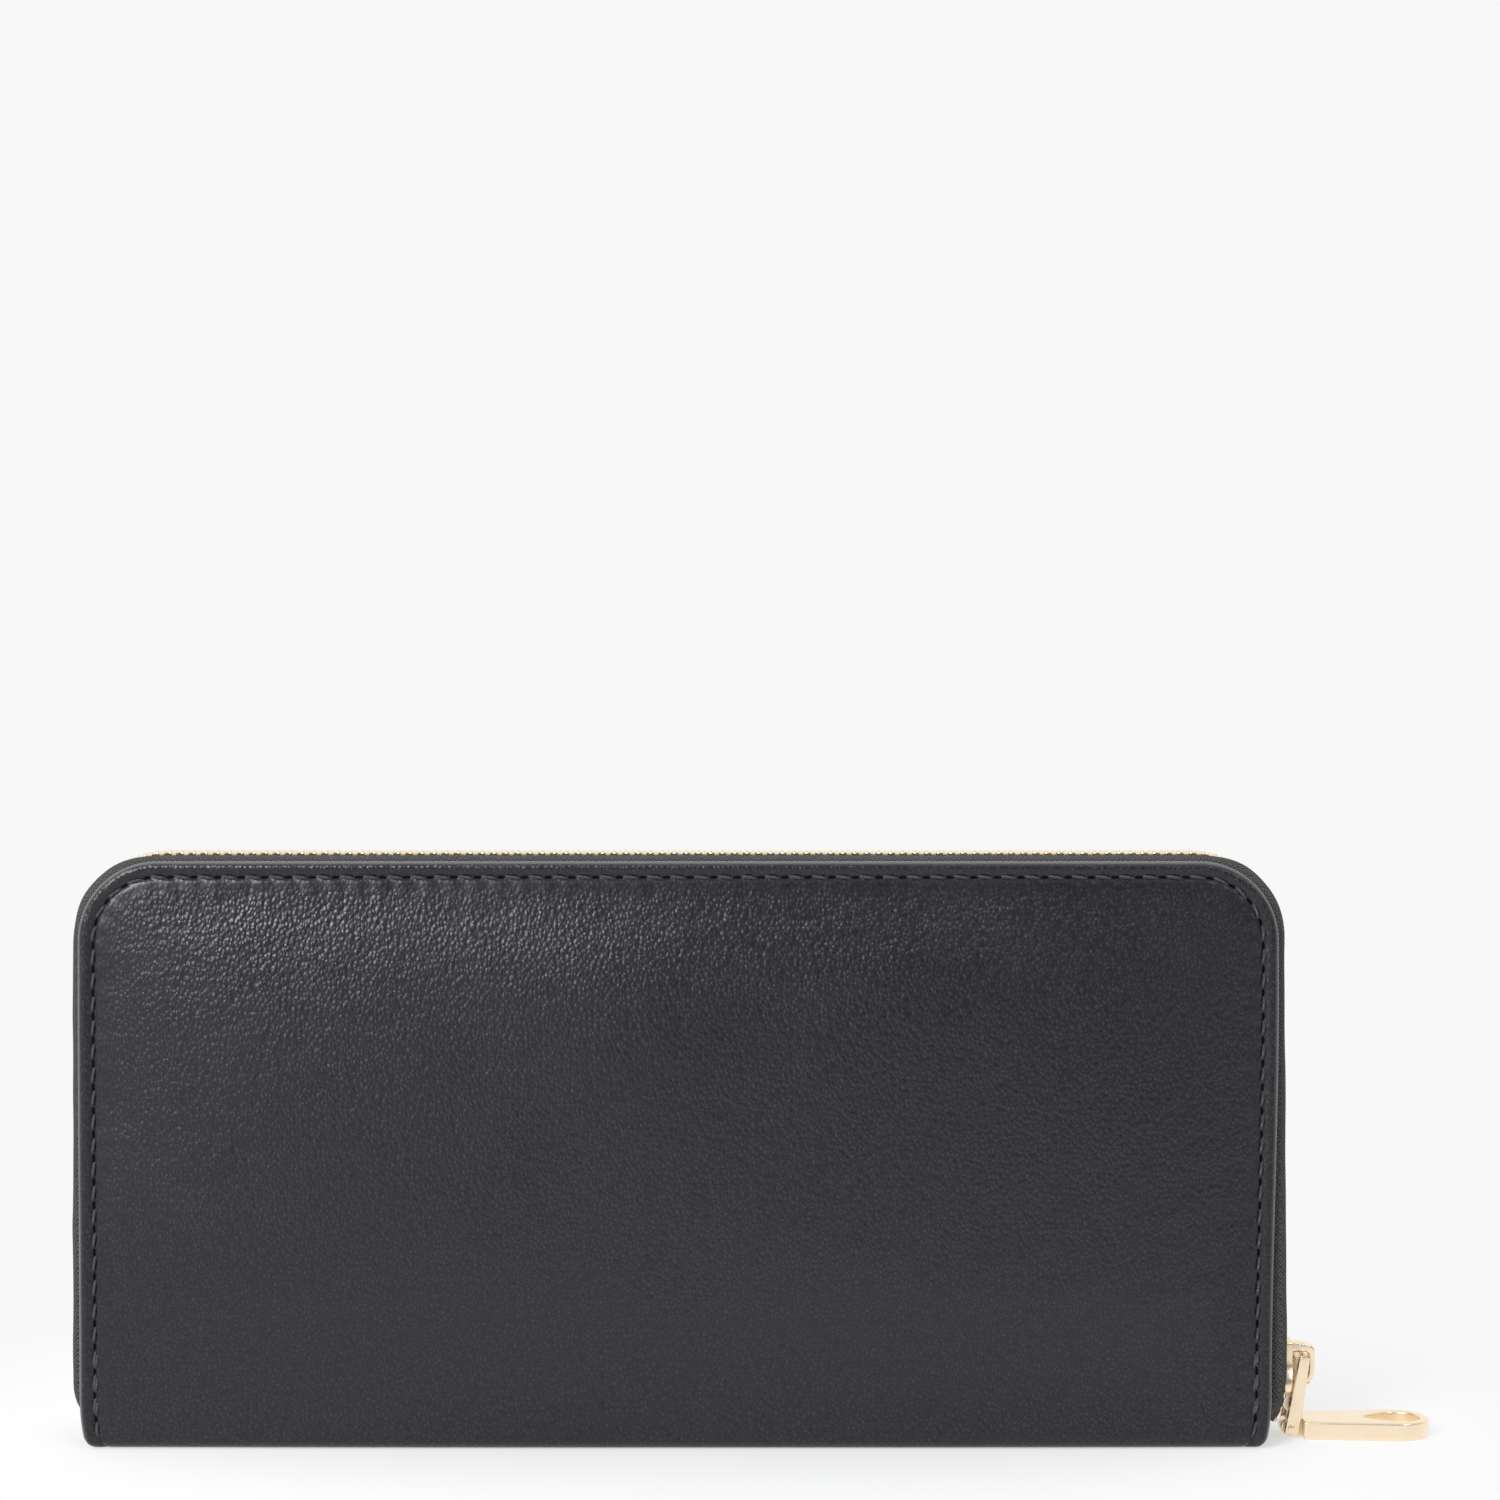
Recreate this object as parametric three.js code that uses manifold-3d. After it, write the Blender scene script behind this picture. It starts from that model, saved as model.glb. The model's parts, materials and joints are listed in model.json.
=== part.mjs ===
// A zip-around wallet, standing shut on its spine. Millimetres, +Z up, +X along the spine towards the
// zip pull, -Y towards the rear cover. The origin is the middle of the spine's underside.
//
// Two stiffened leather covers hang on a leather spine. Each carries a lining, a slip pocket, three card
// pockets and half of a metal zip, which runs up one end, along the top and down the other end. A zipped
// coin pocket stands on the spine between the covers, and four pleated gussets join it to them.
import * as THREE from "three";
import Module from "manifold-3d";
import { mergeVertices } from "three/addons/utils/BufferGeometryUtils.js";

const wasm = await Module();
wasm.setup();

// ---------- driving dimensions ----------
const coverWidth = 196;
const coverHeight = 95;
const cornerRadius = 13; // the covers' top corners
const heelRadius = 3; // the covers' lower corners
const rimOuter = 11.3; // from the mid-plane to the outside of a cover's rim
const rimThickness = 1.7; // leather turned over on itself
const rimWidth = 6;
const spineShare = 0.35; // how much less the layers draw in along the spine
const leather = 1.2;
const puff = 1.2; // how far the padding lifts a cover's middle above its rim
const stitchInset = 2.9;
const stitchGroove = 0.3;
const threadWidth = 0.6;

const layerGap = 0.1; // glue line between stacked layers
const seamGap = 0.3; // between pieces that meet edge to edge
const board = 0.7;
const lining = 0.35;
const liningInset = 3;
const tape = 0.45; // woven zip tape
const pocketLeather = 0.4;

const spineInset = 1; // the spine strip is this much shorter than a cover at each end
const spineRadius = 2.3; // outer radius along the spine's two long edges
const spineBoard = 0.6;
const spineLining = 0.3;

const slipPocketWidth = coverWidth - 32;
const slipPocketTop = coverHeight - 25;
const cardPocketWidth = slipPocketWidth - 8;
const cardPocketTops = [slipPocketTop - 8, slipPocketTop - 18, slipPocketTop - 28];
const pocketBottom = 4;

const zipRise = 1.2; // from a cover's edge out to the middle of the chain
const pullEndRise = 1.7; // the same beside the slider, which pushes the chain out a little
const tapeGap = 0.2; // between the chain's cord and the tape that carries it
const toothHeight = 2.2;
const toothPitch = 2;
const toothWidth = 0.8; // along the chain
const toothReach = 0.6; // past the mid-plane, between the other side's teeth
const toothRoot = 1.5;
const chainBack = 1.95;
const slotHalf = 0.45; // half of the slit that a slider leaves for the tape
const pullEndCurl = { radius: 7.5, start: 8, angle: 40 }; // the chain tucks in below the slider
const farEndCurl = { radius: 7.5, start: 10, angle: 45 };

const sliderLength = 8.8;
const sliderPlate = 0.7;
const sliderClearance = 0.2;
const sliderFlange = 0.75;
const sliderBottom = 7.4;
const sliderHip = 0.2; // where its wide end begins to narrow, as a share of its length
const sliderWaist = 0.55; // where it is down to its narrow width
const rowSpread = 1; // how far each row of teeth is spread by the slider's wedge
const wedgeHalf = 0.3;
const crownWidth = 2.6;
const crownLength = 7.2; // along the slider
const crownHeight = 3.9;
const crownWall = 1;
const crownHead = 1.3; // the crown's solid upper end

const linkBarRadius = 0.85;
const linkThickness = 2;
const linkWidth = 6.2;
const linkLeg = 1.2;
const linkLean = 10.9; // degrees, foot towards the wallet
const pinRadius = 0.6;
const pinClearance = 0.12;
const tabThickness = 3;
const tabLength = 23.3; // from the pin to the tab's round end
const tabNeck = 8.5;
const tabEnd = 11;
const tabShoulder = 1.9; // from the pin
const tongueWidth = 3;
const tongueClearance = 0.25;
const eyeRadius = 3.8;
const eyeTip = 1.8;
const eyeRim = 1.4;
const eyeTaper = 3.8; // between the centres of the eye's two ends

const coinWidth = coverWidth - 24;
const coinTop = coverHeight - 23;
const coinHalf = 1.8; // half of the coin pocket's inside
const coinWall = 0.5;
const bag = 0.3;
const coinZipHeight = coinTop + 5;
const coinTapeWidth = coinWidth - 12;
const coilHalf = 1.2;
const coilHeight = 1.8;
const coilLength = coinWidth - 34;
const coinSliderLength = 9;
const coinPlate = 0.7;
const coinFlange = 0.65;
const coinBridgeHeight = 2.8;
const coinTabLength = 13;
const coinTabWidth = 5;
const coinTab = 1;

const gusset = 0.35;
const gussetTop = coverHeight - 11;
const pleatDepth = 5.5;
const foldRadius = 0.45;

// ---------- places worked out from them ----------
const rimInner = rimOuter - rimThickness;
const tapeOuter = rimInner - layerGap;
const tapeInner = tapeOuter - tape;
const liningOuter = tapeInner - layerGap;
const liningInner = liningOuter - lining;
const slipOuter = liningInner - layerGap;
const slipInner = slipOuter - pocketLeather;
const boardOuter = tapeInner + board;
const boardInset = rimWidth + 0.4;
const hingeHeight = spineRadius + seamGap / 2;
const coverBottom = spineRadius + seamGap;
const coinOuter = coinHalf + coinWall;
const pocketPitch = pocketLeather + layerGap;

const leathers = { color: 0x2e2e31, roughness: 0.5, metalness: 0 };
const finishes = {
  leather: new THREE.MeshStandardMaterial(leathers),
  lining: new THREE.MeshStandardMaterial({ color: 0x1c1c1f, roughness: 0.85 }),
  board: new THREE.MeshStandardMaterial({ color: 0x8a8378, roughness: 0.9 }),
  foam: new THREE.MeshStandardMaterial({ color: 0xd9d6cc, roughness: 1 }),
  tape: new THREE.MeshStandardMaterial({ color: 0x252628, roughness: 0.95 }),
  thread: new THREE.MeshStandardMaterial({ color: 0x0d0d0f, roughness: 0.8 }),
  gold: new THREE.MeshStandardMaterial({ color: 0xe8c490, roughness: 0.25, metalness: 1 }),
  nylon: new THREE.MeshStandardMaterial({ color: 0x151517, roughness: 0.5 }),
};

const wallet = new THREE.Group();

// ---------- small tools ----------
function add(name, geometry, finish, parent = wallet) {
  const mesh = new THREE.Mesh(geometry, finishes[finish]);
  mesh.name = name;
  parent.add(mesh);
  return mesh;
}

// A closed geometry whose faces all point outwards, from vertices and triangles wound either way.
function closedGeometry(points, triangles) {
  let volume = 0;
  for (const [a, b, c] of triangles) {
    volume += points[a].dot(new THREE.Vector3().crossVectors(points[b], points[c]));
  }
  const order = volume < 0 ? ([a, b, c]) => [a, c, b] : (t) => t;
  return new THREE.BufferGeometry()
    .setFromPoints(points)
    .setIndex(triangles.flatMap(order));
}

// Skins a row of loops of equal length, and closes the first and last with flat caps.
// flat gives each cap's loop in two dimensions.
function loft(rings, flatFirst, flatLast) {
  const count = rings[0].length;
  const triangles = [];
  for (let r = 0; r + 1 < rings.length; r++) {
    for (let i = 0; i < count; i++) {
      const a = r * count + i;
      const b = r * count + ((i + 1) % count);
      triangles.push([a, b, b + count], [a, b + count, a + count]);
    }
  }
  const last = (rings.length - 1) * count;
  for (const [a, b, c] of THREE.ShapeUtils.triangulateShape(flatFirst, [])) {
    triangles.push(turn([c, b, a], flatFirst));
  }
  for (const t of THREE.ShapeUtils.triangulateShape(flatLast, [])) {
    triangles.push(turn(t, flatLast).map((i) => i + last));
  }
  return closedGeometry(rings.flat(), triangles);
}

// Caps are wound the way their loop runs, whichever way that is.
function turn([a, b, c], loop) {
  return THREE.ShapeUtils.isClockWise(loop) ? [a, c, b] : [a, b, c];
}

// A flat outline pushed along one axis. The outline is in (y, z) for X, (x, z) for Y and (x, y) for Z.
function extrude(axis, outline, from, to, holes = []) {
  const shape = outline instanceof THREE.Shape ? outline : new THREE.Shape(outline);
  shape.holes.push(...holes);
  const geometry = new THREE.ExtrudeGeometry(shape, {
    depth: to - from,
    bevelEnabled: false,
    curveSegments: 8,
  });
  const x = new THREE.Vector3(1, 0, 0);
  const y = new THREE.Vector3(0, 1, 0);
  const z = new THREE.Vector3(0, 0, 1);
  const turned = new THREE.Matrix4();
  if (axis === "X") turned.makeBasis(y, z, x).setPosition(from, 0, 0);
  if (axis === "Y") turned.makeBasis(x, z, y.clone().negate()).setPosition(0, to, 0);
  if (axis === "Z") turned.setPosition(0, 0, from);
  return geometry.applyMatrix4(turned);
}

function box(x0, x1, y0, y1, z0, z1) {
  return new THREE.BoxGeometry(x1 - x0, y1 - y0, z1 - z0).translate(
    (x0 + x1) / 2,
    (y0 + y1) / 2,
    (z0 + z1) / 2,
  );
}

// A layer between two distances from the mid-plane, on one side of it.
function layer(side, outline, outer, inner) {
  const from = side > 0 ? inner : -outer;
  const to = side > 0 ? outer : -inner;
  return extrude("Y", outline, from, to);
}

function solidOf(geometry) {
  const bare = (geometry.index ? geometry.toNonIndexed() : geometry).clone();
  bare.deleteAttribute("normal");
  bare.deleteAttribute("uv");
  const merged = mergeVertices(bare, 1e-4);
  return new wasm.Manifold(
    new wasm.Mesh({
      numProp: 3,
      vertProperties: merged.attributes.position.array,
      triVerts: new Uint32Array(merged.index.array),
    }),
  );
}

function geometryOf(solid) {
  const { vertProperties, triVerts } = solid.getMesh();
  return new THREE.BufferGeometry()
    .setAttribute("position", new THREE.BufferAttribute(vertProperties, 3))
    .setIndex(new THREE.BufferAttribute(triVerts, 1));
}

function join(...geometries) {
  return geometryOf(geometries.map(solidOf).reduce((whole, piece) => whole.add(piece)));
}

function cut(geometry, ...tools) {
  return geometryOf(tools.map(solidOf).reduce((left, tool) => left.subtract(tool), solidOf(geometry)));
}

// A cylinder lying along Y.
function rod(radius, length, segments = 20) {
  return new THREE.CylinderGeometry(radius, radius, length, segments);
}

// Gives an open line of [a, b] points a thickness, half to each side, and returns its outline.
function thicken(line, thickness) {
  const across = line.map((_, i) => {
    const before = line[Math.max(i - 1, 0)];
    const after = line[Math.min(i + 1, line.length - 1)];
    const normal = new THREE.Vector2(before[1] - after[1], after[0] - before[0]);
    return normal.normalize().multiplyScalar(thickness / 2);
  });
  const edge = (sign) =>
    line.map(([a, b], i) => new THREE.Vector2(a + sign * across[i].x, b + sign * across[i].y));
  return [...edge(1), ...edge(-1).reverse()];
}

// ---------- outlines ----------
// A cover's outline drawn in by inset, as [x, z] points. The bottom edge is drawn in by rise instead.
function coverOutline(inset, rise = inset) {
  const half = coverWidth / 2 - inset;
  const top = coverHeight - inset;
  const bottom = coverBottom + rise;
  const round = Math.max(cornerRadius - inset, 1);
  const heel = Math.max(heelRadius - inset, 0.5);
  const corners = [
    { x: half - heel, z: bottom + heel, radius: heel, start: -90, steps: 3 },
    { x: half - round, z: top - round, radius: round, start: 0, steps: 7 },
    { x: -half + round, z: top - round, radius: round, start: 90, steps: 7 },
    { x: -half + heel, z: bottom + heel, radius: heel, start: 180, steps: 3 },
  ];
  return corners.flatMap(({ x, z, radius, start, steps }) =>
    Array.from({ length: steps + 1 }, (_, i) => {
      const angle = THREE.MathUtils.degToRad(start + (90 * i) / steps);
      return new THREE.Vector2(x + radius * Math.cos(angle), z + radius * Math.sin(angle));
    }),
  );
}

// A pillow built of outlines: each step is [inset, distance from the mid-plane]. Along the spine the
// steps close up, because the leather runs on round it with no rim.
function pillow(side, steps) {
  const loops = steps.map(([inset]) => coverOutline(inset, inset * spineShare));
  const rings = steps.map(([, distance], i) =>
    loops[i].map((p) => new THREE.Vector3(p.x, side * distance, p.y)),
  );
  return loft(rings, loops[0], loops[loops.length - 1]);
}

// ---------- the zip's route ----------
// A row of arcs, joined by straight runs, from the pull end up and over to the far end. Each arc has its
// centre inside the wallet, so the way out of the wallet is the way from the centre.
const zipArcs = (() => {
  const cornerX = coverWidth / 2 - cornerRadius;
  const cornerZ = coverHeight - cornerRadius;
  const radius = cornerRadius + zipRise;
  const near = pullEndCurl;
  const far = farEndCurl;
  const nearX = coverWidth / 2 + pullEndRise - near.radius;
  const farX = far.radius - coverWidth / 2 - zipRise;
  return [
    { x: nearX, z: near.start, radius: near.radius, from: -near.angle, to: 0 },
    { x: cornerX, z: cornerZ, radius, from: 0, to: 90 },
    { x: -cornerX, z: cornerZ, radius, from: 90, to: 180 },
    { x: farX, z: far.start, radius: far.radius, from: 180, to: 180 + far.angle },
  ];
})();

function onArc({ x, z, radius }, degrees) {
  const angle = THREE.MathUtils.degToRad(degrees);
  const nx = Math.cos(angle);
  const nz = Math.sin(angle);
  return { x: x + radius * nx, z: z + radius * nz, nx, nz };
}

// The route's runs: an arc, a straight, an arc, and so on, each with its length.
const zipRuns = zipArcs.flatMap((arc, i) => {
  const sweep = THREE.MathUtils.degToRad(arc.to - arc.from) * arc.radius;
  const runs = [{ length: sweep, at: (t) => onArc(arc, arc.from + (arc.to - arc.from) * t) }];
  if (i + 1 < zipArcs.length) {
    const a = onArc(arc, arc.to);
    const b = onArc(zipArcs[i + 1], zipArcs[i + 1].from);
    const mix = (t) => ({ ...a, x: a.x + (b.x - a.x) * t, z: a.z + (b.z - a.z) * t });
    runs.push({ length: Math.hypot(b.x - a.x, b.z - a.z), at: mix });
  }
  return runs;
});
const runStarts = zipRuns.map((_, i) => zipRuns.slice(0, i).reduce((sum, r) => sum + r.length, 0));
const zipLength = runStarts.at(-1) + zipRuns.at(-1).length;

// The point at a distance along the route, with the way out of the wallet there.
function zipStation(s) {
  const i = runStarts.findLastIndex((start) => s >= start - 1e-9);
  const { length, at } = zipRuns[i];
  return { s, ...at(Math.min((s - runStarts[i]) / length, 1)) };
}

// How far each row is spread from the mid-plane: fully below the slider, not at all above it.
const spreadFrom = runStarts[1] + sliderBottom + sliderLength * sliderHip - pullEndCurl.start;
const spreadLength = sliderLength * (sliderWaist - sliderHip);
function spread(s) {
  return rowSpread * (1 - THREE.MathUtils.smoothstep(s, spreadFrom, spreadFrom + spreadLength));
}

// ---------- zip tape and teeth ----------
function zipTape(side) {
  const seat = (tapeOuter + tapeInner) / 2;
  const foot = -(zipRise + rimWidth - 0.2);
  const profileAt = (s) =>
    thicken(
      [
        [chainBack + tapeGap + spread(s), 0],
        [seat - 2, 0],
        [seat - 1, -0.2],
        [seat - 0.25, -0.7],
        [seat, -1.4],
        [seat, foot],
      ],
      tape,
    );
  const places = zipRuns.flatMap(({ length }, i) => {
    const steps = i % 2 ? 1 : 8;
    return Array.from({ length: steps }, (_, k) => runStarts[i] + (length * k) / steps);
  });
  const shifting = [0, 1, 2, 3, 4].map((k) => spreadFrom + (spreadLength * k) / 4);
  const stations = [...places, ...shifting, zipLength].sort((a, b) => a - b).map(zipStation);
  const rings = stations.map(({ s, x, z, nx, nz }) =>
    profileAt(s).map(({ x: y, y: n }) => new THREE.Vector3(x + n * nx, side * y, z + n * nz)),
  );
  return loft(rings, profileAt(0), profileAt(zipLength));
}

// A row of teeth on their cord, as one comb bent along the route between two distances.
function zipTeeth(side, from, to) {
  const start = from + (side > 0 ? toothPitch / 2 : 0);
  const count = Math.floor((to - layerGap - start) / toothPitch);
  const points = [];
  const corner = (s, y) => {
    const { x, z, nx, nz } = zipStation(s);
    for (const n of [-toothHeight / 2, toothHeight / 2]) {
      points.push(new THREE.Vector3(x + n * nx, side * (y + spread(s)), z + n * nz));
    }
    return points.length - 2;
  };
  const triangles = [];
  const face = (...loop) => {
    for (let i = 1; i + 1 < loop.length; i++) {
      const [a, b, c] = [loop[0], loop[i], loop[i + 1]];
      triangles.push([a, b, c], [c + 1, b + 1, a + 1]);
    }
  };
  const wall = (a, b) => triangles.push([a, b + 1, a + 1], [a, b, b + 1]);
  let back = corner(start, chainBack);
  let root = corner(start, toothRoot);
  wall(root, back);
  for (let i = 0; i < count; i++) {
    const s = start + i * toothPitch;
    const tip = corner(s, -toothReach);
    const tipEnd = corner(s + toothWidth, -toothReach);
    const rootEnd = corner(s + toothWidth, toothRoot);
    const nextBack = corner(s + toothPitch, chainBack);
    const nextRoot = corner(s + toothPitch, toothRoot);
    face(root, tip, tipEnd, rootEnd);
    face(rootEnd, nextRoot, nextBack, back, root);
    wall(back, nextBack);
    wall(nextRoot, rootEnd);
    wall(rootEnd, tipEnd);
    wall(tipEnd, tip);
    wall(tip, root);
    back = nextBack;
    root = nextRoot;
  }
  wall(back, root);
  return closedGeometry(points, triangles);
}

// ---------- one half of the wallet ----------
function stitchLine(side) {
  const line = coverOutline(stitchInset).slice(4, 20);
  const foot = coverBottom + heelRadius;
  const path = [new THREE.Vector2(line[0].x, foot), ...line, new THREE.Vector2(line.at(-1).x, foot)];
  const outer = rimOuter - 0.02;
  const inner = rimOuter - stitchGroove + 0.02;
  return layer(side, thicken(path.map(({ x, y }) => [x, y]), threadWidth), outer, inner);
}

function cover(side) {
  const grooveHalf = threadWidth / 2 + 0.1;
  const lift = (share) => rimOuter + puff * share;
  return pillow(side, [
    [20, lift(1)],
    [10, lift(0.85)],
    [6.5, lift(0.55)],
    [stitchInset + grooveHalf + 0.1, rimOuter],
    [stitchInset + grooveHalf, rimOuter - stitchGroove],
    [stitchInset - grooveHalf, rimOuter - stitchGroove],
    [stitchInset - grooveHalf - 0.1, rimOuter],
    [0.5, rimOuter],
    [0, rimOuter - 0.5],
    [0.01, rimInner],
    [rimWidth, rimInner],
    [rimWidth + 0.2, lift(0.5) - leather],
    [10, lift(0.85) - leather],
    [20, lift(1) - leather],
  ]);
}

function padding(side) {
  const under = (share) => rimOuter + puff * share - leather - layerGap;
  return pillow(side, [
    [20, under(1)],
    [10.2, under(0.85)],
    [boardInset + 0.4, under(0.5)],
    [boardInset, boardOuter + layerGap],
  ]);
}

function pocketOutline(width, top) {
  const notch = 1.5;
  const half = width / 2;
  return [
    [-half, pocketBottom],
    [half, pocketBottom],
    [half, top - notch],
    [half - notch, top],
    [notch - half, top],
    [-half, top - notch],
  ].map(([x, z]) => new THREE.Vector2(x, z));
}

// A gusset leaves the coin pocket's edge, folds inwards, and comes back out to the cover's lining.
function gussetGeometry(side, end) {
  const start = coinOuter + layerGap + gusset / 2;
  const finish = liningInner - layerGap - gusset / 2;
  const edge = coinWidth / 2 - 1.5;
  const line = [
    [edge - 3, start],
    [edge, start],
    [edge + foldRadius, start + foldRadius],
    [edge, start + 2 * foldRadius],
    [edge - pleatDepth, start + 4 * foldRadius],
    [edge - pleatDepth - foldRadius, start + 5 * foldRadius],
    [edge - pleatDepth, start + 6 * foldRadius],
    [edge + 1.5, finish - 0.3],
    [edge + 3, finish],
    [edge + 7.5, finish],
  ];
  const outline = thicken(line, gusset).map(({ x, y }) => new THREE.Vector2(end * x, side * y));
  return extrude("Z", outline, pocketBottom, gussetTop);
}

function half(name, side) {
  add(`${name}_cover`, cover(side), "leather");
  add(`${name}_padding`, padding(side), "foam");
  const boardOutline = coverOutline(boardInset, boardInset * spineShare);
  add(`${name}_board`, layer(side, boardOutline, boardOuter, tapeInner), "board");
  add(`${name}_lining`, layer(side, coverOutline(liningInset), liningOuter, liningInner), "lining");
  add(`${name}_stitching`, stitchLine(side), "thread");
  const slip = pocketOutline(slipPocketWidth, slipPocketTop);
  add(`${name}_slip_pocket`, layer(side, slip, slipOuter, slipInner), "leather");
  cardPocketTops.forEach((top, i) => {
    const outer = slipInner - layerGap - i * pocketPitch;
    const outline = pocketOutline(cardPocketWidth, top);
    add(`${name}_card_pocket_${i + 1}`, layer(side, outline, outer, outer - pocketLeather), "leather");
  });
  add(`${name}_zip_tape`, zipTape(side), "tape");
  const [pullCorner, farCorner] = [runStarts[2], runStarts[5]];
  add(`${name}_zip_teeth_pull_end`, zipTeeth(side, 0, pullCorner), "gold");
  add(`${name}_zip_teeth_top`, zipTeeth(side, pullCorner, farCorner), "gold");
  add(`${name}_zip_teeth_far_end`, zipTeeth(side, farCorner, zipLength), "gold");
  add(`${name}_gusset_pull_end`, gussetGeometry(side, 1), "lining");
  add(`${name}_gusset_far_end`, gussetGeometry(side, -1), "lining");
}

// ---------- spine ----------
function spine() {
  const length = coverWidth / 2 - spineInset;
  const flat = rimOuter - spineRadius;
  const section = new THREE.Shape();
  section.moveTo(-rimOuter, spineRadius);
  section.absarc(-flat, spineRadius, spineRadius, Math.PI, 1.5 * Math.PI);
  section.lineTo(flat, 0);
  section.absarc(flat, spineRadius, spineRadius, -Math.PI / 2, 0);
  section.lineTo(rimOuter - leather, spineRadius);
  section.absarc(flat, spineRadius, spineRadius - leather, 0, -Math.PI / 2, true);
  section.lineTo(-flat, leather);
  section.absarc(-flat, spineRadius, spineRadius - leather, 1.5 * Math.PI, Math.PI, true);
  add("spine_leather", extrude("X", section, -length, length), "leather");
  const across = flat - 0.4;
  const layOn = (inset, base, thickness) =>
    box(-length + inset, length - inset, -across, across, base, base + thickness);
  const boardBase = leather + layerGap;
  add("spine_board", layOn(2, boardBase, spineBoard), "board");
  const liningBase = boardBase + spineBoard + layerGap;
  add("spine_lining", layOn(1, liningBase, spineLining), "lining");
}

// ---------- slider, link and tab ----------
// The slider's outline in (y, z): narrow where the meshed chain leaves, wide where the rows come apart.
// Its corners are cut off by corner, and it runs past the slider's own ends by past.
function shield(narrow, wide, corner, past) {
  const bottom = sliderBottom - past;
  const top = sliderBottom + sliderLength + past;
  const hip = sliderBottom + sliderLength * sliderHip;
  const waist = sliderBottom + sliderLength * sliderWaist;
  const right = [
    [wide - corner, bottom],
    [wide, hip],
    [narrow, waist],
    [narrow, top - 0.6],
    [narrow - corner, top],
  ];
  return [...right, ...right.map(([y, z]) => [-y, z]).reverse()].map(([y, z]) => new THREE.Vector2(y, z));
}

const sliderInside = toothHeight / 2 + sliderClearance;
const sliderNarrow = chainBack + sliderClearance;
const sliderWide = chainBack + rowSpread + sliderClearance;
const zipX = coverWidth / 2 + pullEndRise;
const plateFace = zipX + sliderInside + sliderPlate;

function sliderBody() {
  const outline = shield(sliderNarrow + sliderFlange, sliderWide + sliderFlange, 0.8, 0);
  const bore = shield(sliderNarrow, sliderWide, 0, 1);
  const block = extrude("X", outline, zipX - sliderInside - sliderPlate, plateFace);
  const channel = extrude("X", bore, zipX - sliderInside, zipX + sliderInside);
  const slit = box(zipX - slotHalf, zipX + slotHalf, -20, 20, 0, coverHeight);
  const wedge = [
    [-wedgeHalf, sliderBottom + 0.4],
    [wedgeHalf, sliderBottom + 0.4],
    [wedgeHalf, sliderBottom + 1.6],
    [0.1, sliderBottom + 2.4],
    [-0.1, sliderBottom + 2.4],
    [-wedgeHalf, sliderBottom + 1.6],
  ].map(([y, z]) => new THREE.Vector2(y, z));
  const reach = sliderInside + sliderPlate / 2;
  const relief = [
    [plateFace - 0.45, sliderBottom - 1],
    [plateFace - 0.45, sliderBottom + 0.3],
    [plateFace + 0.1, sliderBottom + 3.4],
    [plateFace + 2, sliderBottom - 1],
  ].map(([x, z]) => new THREE.Vector2(x, z));
  const linkWay = extrude("Y", relief, -10, 10);
  return join(cut(block, channel, slit, linkWay), extrude("X", wedge, zipX - reach, zipX + reach));
}

// The arch over the slider that holds the link's bar, drawn in [x, z].
const crownFoot = plateFace + 0.05;
const crownOuter = crownFoot + crownHeight;
const crownBottom = sliderBottom + 0.6;
const crownTop = crownBottom + crownLength;
function crown() {
  const window = crownOuter - crownWall;
  const arch = new THREE.Shape();
  arch.moveTo(crownFoot, crownBottom);
  arch.lineTo(crownOuter - 2, crownBottom);
  arch.quadraticCurveTo(crownOuter, crownBottom + 0.3, crownOuter, crownBottom + 2.5);
  arch.lineTo(crownOuter, crownTop - 1.2);
  arch.quadraticCurveTo(crownOuter, crownTop, crownOuter - 1.4, crownTop);
  arch.lineTo(crownFoot, crownTop);
  arch.lineTo(crownFoot, crownTop - crownHead);
  arch.lineTo(window - 0.8, crownTop - crownHead);
  arch.quadraticCurveTo(window, crownTop - crownHead, window, crownTop - crownHead - 0.8);
  arch.lineTo(window, crownBottom + 2.2);
  arch.lineTo(window - 0.9, crownBottom + crownWall);
  arch.lineTo(crownFoot, crownBottom + crownWall);
  return extrude("Y", arch, -crownWidth / 2, crownWidth / 2);
}

const barX = crownOuter - crownWall - linkBarRadius - 0.25;
const barZ = crownTop - crownHead - linkBarRadius - 0.2;
const pinZ = tabThickness / 2;
const lean = THREE.MathUtils.degToRad(linkLean);
const linkReach = (barZ - pinZ) / Math.cos(lean); // from the bar to the pin
const pinX = barX - linkReach * Math.sin(lean);
const tongueRadius = tabThickness / 2;

// The link hangs straight down here, its bar along Y at the origin, and its group leans it.
function link() {
  const side = linkWidth / 2;
  const windowHalf = side - linkLeg;
  const windowEnd = -(linkBarRadius + 4.9);
  const slotTop = -(linkReach - tongueRadius - 0.9);
  const slotHalfWidth = tongueWidth / 2 + tongueClearance;
  const x = linkThickness / 2;
  const blank = join(
    box(-x, x, -side, side, -linkReach, 0),
    rod(x, linkWidth).translate(0, 0, -linkReach),
  );
  const shoulders = linkShoulders(x, side);
  const windowBox = box(-5, 5, -windowHalf, windowHalf, windowEnd, 2);
  const slot = box(-5, 5, -slotHalfWidth, slotHalfWidth, -linkReach - 5, slotTop);
  const pinHole = rod(pinRadius + pinClearance, linkWidth + 2).translate(0, 0, -linkReach);
  const legs = cut(blank, ...shoulders, windowBox, slot, pinHole);
  return join(legs, rod(linkBarRadius, linkWidth));
}

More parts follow.
